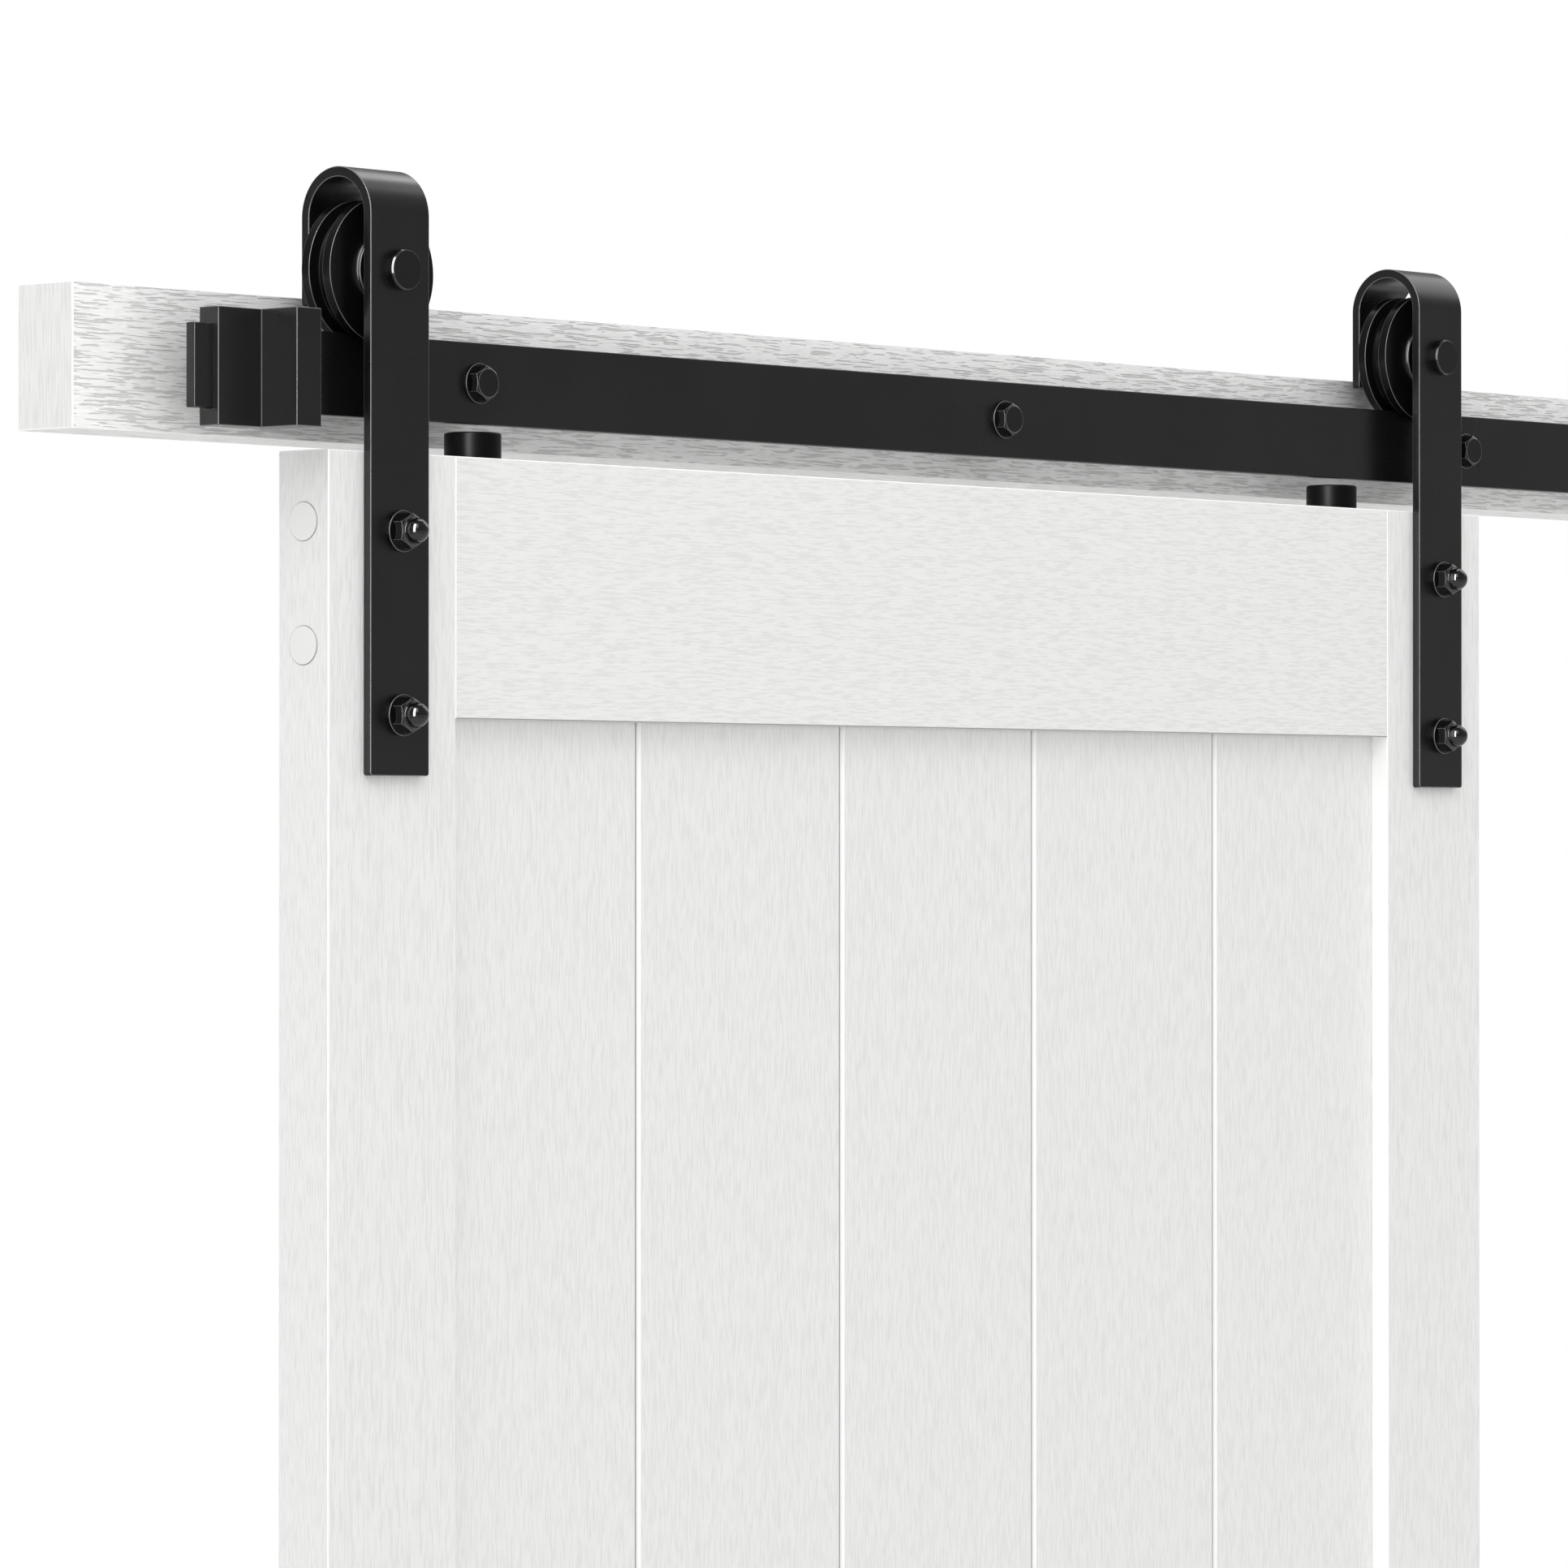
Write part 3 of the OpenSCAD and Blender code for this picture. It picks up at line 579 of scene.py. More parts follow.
def sharp_edges(bm, over=30.0, longer=0.0):
    """Edges whose faces meet at more than an angle in degrees and which are long enough."""
    limit = math.radians(over)
    shared = [edge for edge in bm.edges if len(edge.link_faces) == 2]
    return [edge for edge in shared if edge.calc_face_angle(0.0) > limit and edge.calc_length() > longer]


def finish_piece(bm, node, materials=(), sharp=35.0):
    """Turns a bmesh into the piece that stands for a node, on the node's body and with its finish."""
    bmesh.ops.remove_doubles(bm, verts=bm.verts, dist=MERGED)
    bmesh.ops.recalc_face_normals(bm, faces=bm.faces)
    mesh = bpy.data.meshes.new("made_" + node)
    bm.to_mesh(mesh)
    bm.free()
    mesh.shade_smooth()
    mesh.set_sharp_from_angle(angle=math.radians(sharp))
    for material in materials or [FINISHES[SLOT_OF[node]]]:
        mesh.materials.append(material)
    piece = bpy.data.objects.new("made_" + node, mesh)
    scene.collection.objects.link(piece)
    flats = piece.modifiers.new("flat_faces", "WEIGHTED_NORMAL")
    flats.keep_sharp = True
    flats.weight = 100
    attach(piece, BODY_OF[node])
    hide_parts(node)
    print(piece.name, len(mesh.polygons), "faces")


def copy_of_node(node):
    """A node's mesh in a bmesh, with its loose triangles merged and its flats dissolved."""
    bm = bmesh.new()
    bm.from_mesh(frame["nodes"][node].data)
    bmesh.ops.remove_doubles(bm, verts=bm.verts, dist=NODE_MERGED)
    bmesh.ops.dissolve_limit(bm, angle_limit=FLAT_WITHIN, verts=bm.verts, edges=bm.edges)
    return bm


# %% [markdown]
# Round pieces are turned, as on a lathe. A profile is a list of (radius, along) pairs, and the spin
# operator carries it once round the axis. Rounds in a profile come from `arc`, which gives the points
# of a quarter circle or any other part of one. Spacers, sleeves, bearing rings and washers are all plain
# rings, and differ only in the box they fill and in their bore.

# %% Lathe
ROUND_STEPS = 64
RIM_SQUAREST, RIM_FLATTEST = 0.15, 0.98
AXES = {
    "x": (Vector((0, 1, 0)), Vector((1, 0, 0))),
    "y": (Vector((1, 0, 0)), Vector((0, 1, 0))),
    "z": (Vector((1, 0, 0)), Vector((0, 0, 1))),
}


def arc(radius, along, size, start, end, steps=6):
    """Profile points on a circle about (radius, along), between two angles in degrees."""
    turns = [math.radians(start + (end - start) * step / steps) for step in range(steps + 1)]
    return [(radius + size * math.cos(turn), along + size * math.sin(turn)) for turn in turns]


def lathe(bm, centre, axis, profile, closed=False, steps=ROUND_STEPS):
    """Spins a profile about an axis through a centre."""
    outwards, forwards = AXES[axis]
    places = [Vector(centre) + outwards * radius + forwards * along for radius, along in profile]
    verts = [bm.verts.new(place) for place in places]
    pairs = list(zip(verts, verts[1:]))
    if closed:
        pairs.append((verts[-1], verts[0]))
    edges = [bm.edges.new(pair) for pair in pairs]
    turn = {"cent": centre, "axis": forwards, "angle": 2 * math.pi}
    bmesh.ops.spin(bm, geom=verts + edges, steps=steps, use_merge=True, **turn)
    bmesh.ops.remove_doubles(bm, verts=bm.verts, dist=MERGED)


def give_second_finish_on_rim(bm, centre, axis, inner, outer):
    """Gives the slanted faces between two radii about an axis their piece's second finish: a painted
    highlight on black parts, a painted shadow on the caps.
    """
    forwards = AXES[axis][1]
    bm.normal_update()
    for face in bm.faces:
        away = face.calc_center_median() - Vector(centre)
        radius = (away - forwards * away.dot(forwards)).length
        if inner < radius < outer and RIM_SQUAREST < abs(face.normal.dot(forwards)) < RIM_FLATTEST:
            give_second_finish([face])


def ring_profile(bore, radius, start, end, rounding, steps=3):
    """The closed profile of a plain ring with small rounds on its outer edges."""
    profile = [(bore, start)]
    profile += arc(radius - rounding, start + rounding, rounding, -90, 0, steps)
    profile += arc(radius - rounding, end - rounding, rounding, 0, 90, steps)
    return profile + [(bore, end)]


def ring_piece(node, bore, rounding):
    """The turned ring that fills a node's box, with its axis along Y."""
    low, high, middle = span(node)
    bm = bmesh.new()
    profile = ring_profile(bore, (high.x - low.x) / 2, low.y, high.y, rounding)
    lathe(bm, (middle.x, 0, middle.z), "y", profile, closed=True)
    finish_piece(bm, node)


print("lathe ready:", ROUND_STEPS, "steps a turn")

# %% [markdown]
# Hexagons are ground from round stock, so a chamfer cuts their corners and leaves an arc on each flat.
# A circle of 48 points becomes the hexagon by moving each point out to the flat, and the chamfer lowers
# each point by how far it stands out past the face. The same circle sunk into a face makes a hex socket.

# %% Hexagons
HEX_STEPS = 48
CHAMFER_SLOPE = math.tan(math.radians(30))
HEX_SUNK = 0.2 * MM
HEX_SHARP = 25.0
HEX_EASE = 0.14 * MM


def hexagon(across_flats, turned=0.0):
    """The distance from a hexagon's middle to its edge, as a function of the angle."""

    def reach_at(angle):
        beside_flat = (math.degrees(angle + turned) + 360.0) % 60.0 - 30.0
        return across_flats / 2 / math.cos(math.radians(beside_flat))

    return reach_at


def chamfered(face, way, face_radius):
    """The height of a chamfered face, as a function of the distance from the axis."""

    def along_at(reach):
        return face - way * max(0.0, reach - face_radius) * CHAMFER_SLOPE

    return along_at


def value_at(value, place):
    """A plain number as it is, or a function's value at a place."""
    return value(place) if callable(value) else value


def ring(bm, centre, axis, radius, along):
    """A closed loop of edges. Its radius may depend on the angle, and its height on the radius."""
    outwards, forwards = AXES[axis]
    upwards = Vector((0, 0, 1)) if axis != "z" else Vector((0, 1, 0))
    made = bmesh.ops.create_circle(bm, cap_ends=False, radius=1.0, segments=HEX_STEPS)
    for vert in made["verts"]:
        angle = math.atan2(vert.co.x, vert.co.y)
        reach = value_at(radius, angle)
        sideways = outwards * math.sin(angle) + upwards * math.cos(angle)
        vert.co = Vector(centre) + sideways * reach + forwards * value_at(along, reach)
    return list(dict.fromkeys(edge for vert in made["verts"] for edge in vert.link_edges))


def join_rings(bm, rings, cap_last=False):
    """Bridges each ring of edges to the next, and fills the last one if asked."""
    for lower, upper in zip(rings, rings[1:]):
        bmesh.ops.bridge_loops(bm, edges=lower + upper)
    if cap_last:
        bmesh.ops.contextual_create(bm, geom=rings[-1])


def add_part(bm, part):
    """Adds one bmesh to another and frees it."""
    mesh = bpy.data.meshes.new("part")
    part.to_mesh(mesh)
    part.free()
    bm.from_mesh(mesh)
    bpy.data.meshes.remove(mesh)


def add_hex_head(bm, centre, base, face, across_flats, face_radius):
    """Adds a chamfered hexagonal head that looks along -Y, open behind, with eased edges that carry a
    painted highlight.
    """
    head = bmesh.new()
    flats = hexagon(across_flats)
    rings = [
        ring(head, centre, "y", flats, base),
        ring(head, centre, "y", flats, chamfered(face, -1, face_radius)),
        ring(head, centre, "y", face_radius, face),
    ]
    join_rings(head, rings, cap_last=True)
    bmesh.ops.recalc_face_normals(head, faces=head.faces)
    give_second_finish(ease(head, sharp_edges(head, over=HEX_SHARP), HEX_EASE, 2))
    add_part(bm, head)


def hex_socket(bm, centre, axis, face, depth, across_flats, outer_radius):
    """A round face with a hexagonal socket sunk into it. Depth is signed along the axis."""
    flats = hexagon(across_flats)
    rings = [
        ring(bm, centre, axis, outer_radius, face),
        ring(bm, centre, axis, flats, face),
        ring(bm, centre, axis, flats, face + depth),
    ]
    join_rings(bm, rings, cap_last=True)


print("helpers ready: a circle of", HEX_STEPS, "points makes each hexagon")

# %% [markdown]
# ## The white boards
# The header board, the frame and the planks are true to the imported model already: grooves, recesses and
# bolt holes are all in it. A merged copy of each gets its long edges eased, which a laminate press does
# by itself, and takes the grain that runs along it. The eased edges and the walls that face the planks
# get the near-white painted highlight. The eased edge under the top rail gets the grey painted shadow,
# and the header's sawn ends get a darker white, which is painted shade.

# %% Boards
BOARD_EASE = 0.6 * MM
BOARD_LONG_EDGE = 25 * MM
BOARD_SHARP = 60.0
SQUARE = 0.97
DOWNWARDS = -0.2
# Board finish slots: 1 painted highlight, 2 painted shadow, 3 the header ends' darker painted shade.
EDGE, SHADE, END = 1, 2, 3


def slanted(normal):
    """Whether a face is part of an eased edge or a joint, and not of a flat side."""
    return max(abs(normal.x), abs(normal.y), abs(normal.z)) < SQUARE


for node, finish in (
    ("header_board", HEADER_FINISH),
    ("top_rail", LYING_FINISH),
    ("bottom_rail", LYING_FINISH),
    ("left_stile", STANDING_FINISH),
    ("right_stile", STANDING_FINISH),
):
    board = copy_of_node(node)
    middle = span(node)[2]
    ease(board, sharp_edges(board, over=BOARD_SHARP, longer=BOARD_LONG_EDGE), BOARD_EASE)
    board.normal_update()
    # Stile walls facing the planks and eased edges take the painted highlight. The top rail's downward
    # eased edge takes the painted shadow, and the header's ends take their darker painted shade.
    for face in board.faces:
        towards_planks = face.normal.x * (door_middle.x - middle.x) > 0
        if "stile" in node and abs(face.normal.x) > SQUARE and towards_planks:
            face.material_index = EDGE
        elif slanted(face.normal):
            # The top rail's downward eased edge takes the grey painted shadow.
            in_shadow = node == "top_rail" and face.normal.z < DOWNWARDS
            face.material_index = SHADE if in_shadow else EDGE
        elif node == "header_board" and abs(face.normal.x) > SQUARE:
            face.material_index = END
    finish_piece(board, node, [finish, PAINTED_HIGHLIGHT_FINISH, PAINTED_SHADOW_FINISH, END_PAINTED_SHADE_FINISH])

# %% [markdown]
# Neighbouring planks meet in a V. The lip on the left of each V is planed back a little, so its flank
# turns away from the light, and it is painted grey as a painted shadow, a fine dark line. The flank on
# the right faces the light, and is painted near white as a painted highlight.

# %% Planks
PLANK_EASE = 0.3 * MM
PLANK_SHARP = 25.0
LIP_SETBACK = 1.0 * MM
planks = sorted(name for name in BODY_OF if name.startswith("plank_"))
for node in planks:
    plank = copy_of_node(node)
    front = span(node)[0].y
    front_verts = [vert for vert in plank.verts if vert.co.y < front + TOUCHING]
    right_lip = max(vert.co.x for vert in front_verts)
    if node != planks[-1]:
        for vert in front_verts:
            if vert.co.x > right_lip - TOUCHING:
                vert.co.x -= LIP_SETBACK
    ease(plank, sharp_edges(plank, over=PLANK_SHARP, longer=BOARD_LONG_EDGE), PLANK_EASE, 2)
    plank.normal_update()
    # Plank flanks facing left take the painted highlight, flanks facing right the painted shadow.
    for face in plank.faces:
        if face.normal.y < 0 and slanted(face.normal):
            face.material_index = EDGE if face.normal.x < 0 else SHADE
    finish_piece(plank, node, [STANDING_FINISH, PAINTED_HIGHLIGHT_FINISH, PAINTED_SHADOW_FINISH])

# %% [markdown]
# The frame bolts sit deep in the stiles, and a plastic cap closes each hole. A cap is a shallow dome
# with a rolled rim and a plug behind it. The cap on the left stile faces -X and the one on the right
# faces +X, so the same profile is turned with its sign changed. The rim is painted grey as a painted
# shadow, so that each cap reads as a disc let into the wood.

# %% Screw caps
CAP_RADIUS = 9.5 * MM
CAP_PROUD = 0.6 * MM
CAP_RIM = 0.6 * MM
CAP_DOMED = 0.95
CAP_SEAT = 0.1 * MM
CAP_DEPTH = 2 * MM
CAP_STEPS = 48
PLUG_RADIUS = 6 * MM
PLUG_DEPTH = 10 * MM

caps_low, caps_high, caps_middle = span("screw_caps")
FIRST_CAP = caps_high.z - CAP_RADIUS
LAST_CAP = caps_low.z + CAP_RADIUS
CAP_PITCH = 59 * MM
cap_heights = (FIRST_CAP, FIRST_CAP - CAP_PITCH, LAST_CAP + CAP_PITCH, LAST_CAP)

caps = bmesh.new()
for edge_x, way in ((caps_low.x + CAP_PROUD, 1), (caps_high.x - CAP_PROUD, -1)):
    for z in cap_heights:
        centre = (edge_x, caps_middle.y, z)
        outline = [(0.0, -CAP_PROUD), (CAP_RADIUS / 2, -CAP_PROUD * CAP_DOMED)]
        outline += arc(CAP_RADIUS - CAP_RIM, CAP_SEAT, CAP_RIM, -90, 0, 4)
        outline += [(CAP_RADIUS, CAP_DEPTH), (PLUG_RADIUS, CAP_DEPTH)]
        outline += [(PLUG_RADIUS, PLUG_DEPTH), (0.0, PLUG_DEPTH)]
        lathe(caps, centre, "x", [(radius, way * along) for radius, along in outline], steps=CAP_STEPS)
        # The cap's rim takes the grey painted shadow.
        give_second_finish_on_rim(caps, centre, "x", CAP_RADIUS - CAP_RIM, CAP_RADIUS)
finish_piece(caps, "screw_caps", [FINISHES[SLOT_OF["screw_caps"]], PAINTED_SHADOW_FINISH])

# %% [markdown]
# ## The track
# The two rails are cut from the same flat bar, and their half-lap shows as one fine seam. The stops
# are sawn from square bar and slotted to slide over the rail's end. All of them keep the imported shape
# with eased edges. An eased inside corner matters too: it mirrors a thin line where two walls meet. The
# stops' eased edges carry a dark grey painted highlight.

# %% Rails and stops
BAR_EASE = 0.6 * MM
STOP_EASE = 0.4 * MM
BAR_LONG_EDGE = 2.5 * MM
STOP_SHARP = 12.0
for node in ("rail_left", "rail_right"):
    bar = copy_of_node(node)
    ease(bar, sharp_edges(bar, over=BOARD_SHARP, longer=BAR_LONG_EDGE), BAR_EASE)
    finish_piece(bar, node)

for node in ("stop_left", "stop_right"):
    stop = copy_of_node(node)
    edges = sharp_edges(stop, over=STOP_SHARP, longer=BAR_LONG_EDGE)
    give_second_finish(ease(stop, edges, STOP_EASE, 2, clamp=False))
    finish_piece(stop, node, [FINISHES["black_steel"], PAINTED_HIGHLIGHT_DARK_FINISH])

# %% [markdown]
# Five tubular spacers hold the track off the header, so that the straps can pass behind it.

# %% Spacers
SPACER_BORE = 4.05 * MM
SPACER_EASE = 0.6 * MM
spacers = sorted(name for name in BODY_OF if name.startswith("rail_spacer_"))
for node in spacers:
    ring_piece(node, SPACER_BORE, SPACER_EASE)

# %% [markdown]
# A lag screw has a hexagonal head with a washer face under it. The washer face is turned with a small
# round on its rim, the hexagon stands on it, and a shank with a blunt point goes through rail and
# spacer into the header. All five screws are one piece, as they are one node.

# %% Lag screws
LAG_FLATS = 15 * MM
LAG_FACE_RADIUS = 7 * MM
LAG_FLANGE_RADIUS = 10 * MM
LAG_FLANGE = 1.5 * MM
LAG_SHANK_RADIUS = 4 * MM
LAG_POINT = 7 * MM
LAG_RIM = 0.4 * MM
LAG_TIP_RADIUS = 1 * MM

lag_low, lag_high, lag_middle = span("lag_screws")
lags = bmesh.new()
for node in spacers:
    centre = (span(node)[2].x, 0, lag_middle.z)
    neck = track_front - LAG_FLANGE
    profile = [(0.0, neck)]
    profile += arc(LAG_FLANGE_RADIUS - LAG_RIM, neck + LAG_RIM, LAG_RIM, -90, 0, 4)
    profile += [(LAG_FLANGE_RADIUS, track_front), (LAG_SHANK_RADIUS, track_front)]
    profile += [(LAG_SHANK_RADIUS, lag_high.y - LAG_POINT)]
    profile += [(LAG_TIP_RADIUS, lag_high.y), (0.0, lag_high.y)]
    lathe(lags, centre, "y", profile)
    # The flange rim carries the painted highlight.
    give_second_finish_on_rim(lags, centre, "y", LAG_FLANGE_RADIUS - LAG_RIM, LAG_FLANGE_RADIUS)
    add_hex_head(lags, centre, neck + HEX_SUNK, lag_low.y, LAG_FLATS, LAG_FACE_RADIUS)
finish_piece(lags, "lag_screws", [HEAD_FINISH, PAINTED_HIGHLIGHT_DARK_FINISH])

# %% [markdown]
# ## The hangers
# A hanger strap is one length of flat bar, bent cold over a former. It is made the same way here: a
# rectangle the size of the bar's section is extruded up the front leg, spun half a turn about the bend's
# axis, and extruded down the short back leg. The corners of both ends are rounded, and all the edges are
# eased and carry a painted highlight.

# %% Hanger straps
STRAP_T = 5 * MM
BACK_LEG_END = 30 * MM
CORNER_ROUND = 1.5 * MM
STRAP_EASE = 0.45 * MM
BEND_STEPS = 40


def only(items, kind):
    """The vertices or the faces out of an operator's result."""
    return [item for item in items if isinstance(item, kind)]


def through_edges(edges):
    """The edges that run through the strap's thickness, not across its width."""
    return [edge for edge in edges if abs(edge.verts[0].co.x - edge.verts[1].co.x) < MM]


for node in ("hanger_left", "hanger_right"):
    low, high = span(node)[:2]
    bend_radius = (high.y - low.y) / 2
    bend_z = high.z - bend_radius
    strap = bmesh.new()
    corners = [(low.x, low.y), (high.x, low.y), (high.x, low.y + STRAP_T), (low.x, low.y + STRAP_T)]
    section = strap.faces.new([strap.verts.new((x, y, low.z)) for x, y in corners])
    front_end = through_edges(section.edges)
    leg = bmesh.ops.extrude_face_region(strap, geom=[section], use_keep_orig=True)
    top_face = only(leg["geom"], bmesh.types.BMFace)
    bmesh.ops.translate(strap, verts=only(leg["geom"], bmesh.types.BMVert), vec=(0, 0, bend_z - low.z))
    turn = {"cent": (0, low.y + bend_radius, bend_z), "axis": (1, 0, 0), "angle": -math.pi}
    bend = bmesh.ops.spin(strap, geom=top_face, steps=BEND_STEPS, use_merge=False, **turn)
    last = only(bend["geom_last"], bmesh.types.BMFace)
    back = bmesh.ops.extrude_face_region(strap, geom=last)
    back_verts = only(back["geom"], bmesh.types.BMVert)
    bmesh.ops.translate(strap, verts=back_verts, vec=(0, 0, BACK_LEG_END - bend_z))
    inside = last + [face for face in top_face if face.is_valid]
    bmesh.ops.delete(strap, geom=inside, context="FACES_ONLY")
    back_end = [
        edge
        for edge in through_edges(strap.edges)
        if all(abs(vert.co.z - BACK_LEG_END) < TOUCHING for vert in edge.verts)
    ]
    ease(strap, front_end + back_end, CORNER_ROUND, 5)
    give_second_finish(ease(strap, sharp_edges(strap, over=BOARD_SHARP), STRAP_EASE, 2))
    finish_piece(strap, node, [FINISHES["black_steel"], PAINTED_HIGHLIGHT_DARK_FINISH], sharp=45.0)

# %% [markdown]
# ## The rollers
# A roller is turned in one piece, and so is its profile: up the front of the hub, down a hollow round
# to the rim, over the rim, into the groove that straddles the track, and the same again on the way back.
# The pocket behind holds the ball bearing.

# %% Rollers
WHEEL_RADIUS = 35 * MM
WHEEL_HALF = 9.75 * MM
GROOVE_RADIUS = 29.8 * MM
GROOVE_HALF = 3.5 * MM
GROOVE_FLARE = 1.0 * MM
RIM_EASE = 0.35 * MM
HUB_RADIUS = 18 * MM
HUB_OUT = 3 * MM
HUB_ROUND = 5 * MM
HUB_EDGE = 0.6 * MM
HOLLOW_STEPS = 10
GROOVE_CORNER = 0.8 * MM
CORNER_OUT, CORNER_IN = 0.1 * MM, 0.7 * MM
WHEEL_STEPS = 96
BEARING_RADIUS = 15 * MM
BEARING_HALF = 4.5 * MM
SHOULDER_RADIUS = 12 * MM


def flank():
    """One side of the roller, from its hub face out to the bottom of its groove."""
    hub_face = WHEEL_HALF + HUB_OUT
    points = arc(HUB_RADIUS - HUB_EDGE, hub_face - HUB_EDGE, HUB_EDGE, 90, 0, 3)
    for step in range(1, HOLLOW_STEPS + 1):
        turn = math.radians(90 - 90 * step / HOLLOW_STEPS)
        radius = HUB_RADIUS + HUB_ROUND * (1 - math.sin(turn))
        points.append((radius, WHEEL_HALF + HUB_OUT * (1 - math.cos(turn))))
    points += arc(WHEEL_RADIUS - RIM_EASE, WHEEL_HALF - RIM_EASE, RIM_EASE, 90, 0, 4)
    points += arc(WHEEL_RADIUS - RIM_EASE, GROOVE_HALF + GROOVE_FLARE + RIM_EASE, RIM_EASE, 0, -70, 4)
    points += [(GROOVE_RADIUS + GROOVE_CORNER, GROOVE_HALF + CORNER_OUT)]
    return points + [(GROOVE_RADIUS, GROOVE_HALF - CORNER_IN)]


for node in ("wheel_left", "wheel_right"):
    middle = span(node)[2]
    front = [(radius, -along) for radius, along in flank()]
    back = [(radius, along) for radius, along in reversed(flank())]
    pocket = [
        (BEARING_RADIUS, WHEEL_HALF + HUB_OUT),
        (BEARING_RADIUS, -BEARING_HALF),
        (SHOULDER_RADIUS, -BEARING_HALF),
        (SHOULDER_RADIUS, -WHEEL_HALF - HUB_OUT),
    ]
    wheel = bmesh.new()
    lathe(wheel, middle, "y", front + back + pocket, closed=True, steps=WHEEL_STEPS)
    # Both rims and the hub edge carry the painted highlight.
    give_second_finish_on_rim(wheel, middle, "y", WHEEL_RADIUS - RIM_EASE, WHEEL_RADIUS)
    give_second_finish_on_rim(wheel, middle, "y", HUB_RADIUS - HUB_EDGE, HUB_RADIUS)
    finish_piece(wheel, node, [FINISHES["black_nylon"], PAINTED_HIGHLIGHT_DARK_FINISH])

# %% [markdown]
# Inside the roller sit two bearing rings, and a sleeve on each side keeps them in the middle of the
# strap. All of them are plain rings.

# %% Rings on the axle
RING_EASE = 0.4 * MM
AXLE_BORE = 5.05 * MM
OUTER_RING_BORE = 10.05 * MM

for side in ("left", "right"):
    for kind in ("front_sleeve_", "back_sleeve_", "bearing_inner_"):
        ring_piece(kind + side, AXLE_BORE, RING_EASE)
    ring_piece("bearing_outer_" + side, OUTER_RING_BORE, RING_EASE)

# %% [markdown]
# The axle is a bolt with a plain round head. A short steep cone leads from the head's face to its side,
# with a small round at each end, and the first round carries a painted highlight, a thin pale ring.
# Behind
# the strap the axle is threaded: a row of shallow ridges, which at this size looks the same as a helix.

# %% Axles
AXLE_HEAD_RADIUS = 10 * MM
HEAD_SLOPE_IN = 0.5 * MM
HEAD_SLOPE_LONG = 0.75 * MM
HEAD_EASE = 0.25 * MM
HEAD_TURN = -33
AXLE_RADIUS = 5 * MM
THREAD_PITCH = 1.5 * MM
THREAD_DEPTH = 0.45 * MM


def thread(radius, start, end):
    """Profile points of shallow ridges from start to end along the axis."""
    count = max(1, round(abs(end - start) / THREAD_PITCH))
    step = (end - start) / count
    points = []
    for index in range(count):
        points += [(radius - THREAD_DEPTH, start + index * step), (radius, start + (index + 0.5) * step)]
    return points + [(radius - THREAD_DEPTH, end)]


for node in ("axle_left", "axle_right"):
    low, high, middle = span(node)
    profile = [(0.0, low.y)]
    slope_start = AXLE_HEAD_RADIUS - HEAD_SLOPE_IN
    slope_end = low.y + HEAD_SLOPE_LONG
    profile += arc(slope_start - HEAD_EASE, low.y + HEAD_EASE, HEAD_EASE, -90, HEAD_TURN, 3)
    profile += arc(AXLE_HEAD_RADIUS - HEAD_EASE, slope_end + HEAD_EASE, HEAD_EASE, HEAD_TURN, 0, 2)
    profile += [(AXLE_HEAD_RADIUS, strap_front), (AXLE_RADIUS, strap_front), (AXLE_RADIUS, strap_back)]
    profile += thread(AXLE_RADIUS, strap_back, high.y)
    profile += [(0.0, high.y)]
    axle = bmesh.new()
    lathe(axle, (middle.x, 0, middle.z), "y", profile)
    give_second_finish_on_rim(axle, middle, "y", slope_start - HEAD_EASE, slope_start)
    finish_piece(axle, node, [HEAD_FINISH, PAINTED_HIGHLIGHT_DARK_FINISH], sharp=50.0)

# %% [markdown]
# A nut closes each axle behind the strap. Rings of points make it: the bore, the front face, the six
# sides, the back face and the bore again, bridged into one closed skin.

# %% Axle nuts
AXLE_NUT_FLATS = 16 * MM
AXLE_NUT_FACE = 7.4 * MM
AXLE_NUT_TURN = math.radians(30)
nuts_low, nuts_high = span("axle_nuts")[:2]
sides = hexagon(AXLE_NUT_FLATS, AXLE_NUT_TURN)
NUT_RINGS = (
    (AXLE_BORE, nuts_low.y),
    (AXLE_NUT_FACE, nuts_low.y),
    (sides, chamfered(nuts_low.y, -1, AXLE_NUT_FACE)),
    (sides, chamfered(nuts_high.y, 1, AXLE_NUT_FACE)),
    (AXLE_NUT_FACE, nuts_high.y),
    (AXLE_BORE, nuts_high.y),
)
axle_nuts = bmesh.new()
for side in ("left", "right"):
    middle = span("axle_" + side)[2]
    nut = bmesh.new()
    rings = [ring(nut, (middle.x, 0, middle.z), "y", radius, along) for radius, along in NUT_RINGS]
    join_rings(nut, rings + rings[:1])
    add_part(axle_nuts, nut)
finish_piece(axle_nuts, "axle_nuts", sharp=25.0)

# %% [markdown]
# ## Dome nuts and hanger bolts
# Two bolts hold each strap. In front a glossy dome nut closes the bolt: a washer face, a chamfered
# hexagon, a short neck and a half ball. The rim of the washer face carries a painted highlight.

# %% Dome nuts
NUT_FLATS = 15 * MM
NUT_FACE_RADIUS = 7 * MM
NUT_FLANGE = 2.8 * MM
NUT_FLANGE_RADIUS = 10 * MM
NUT_HEX = 6.5 * MM
NUT_RIM = 0.4 * MM
DOME_RADIUS = 6.1 * MM
DOME_RISE = 1.7 * MM
DOME_FOOT = 0.6 * MM
DOME_SUNK = 0.1 * MM
FLANGE_BORE = NUT_FACE_RADIUS * 0.6
BOLT_INSET = 38 * MM
BOLT_PITCH = 88 * MM

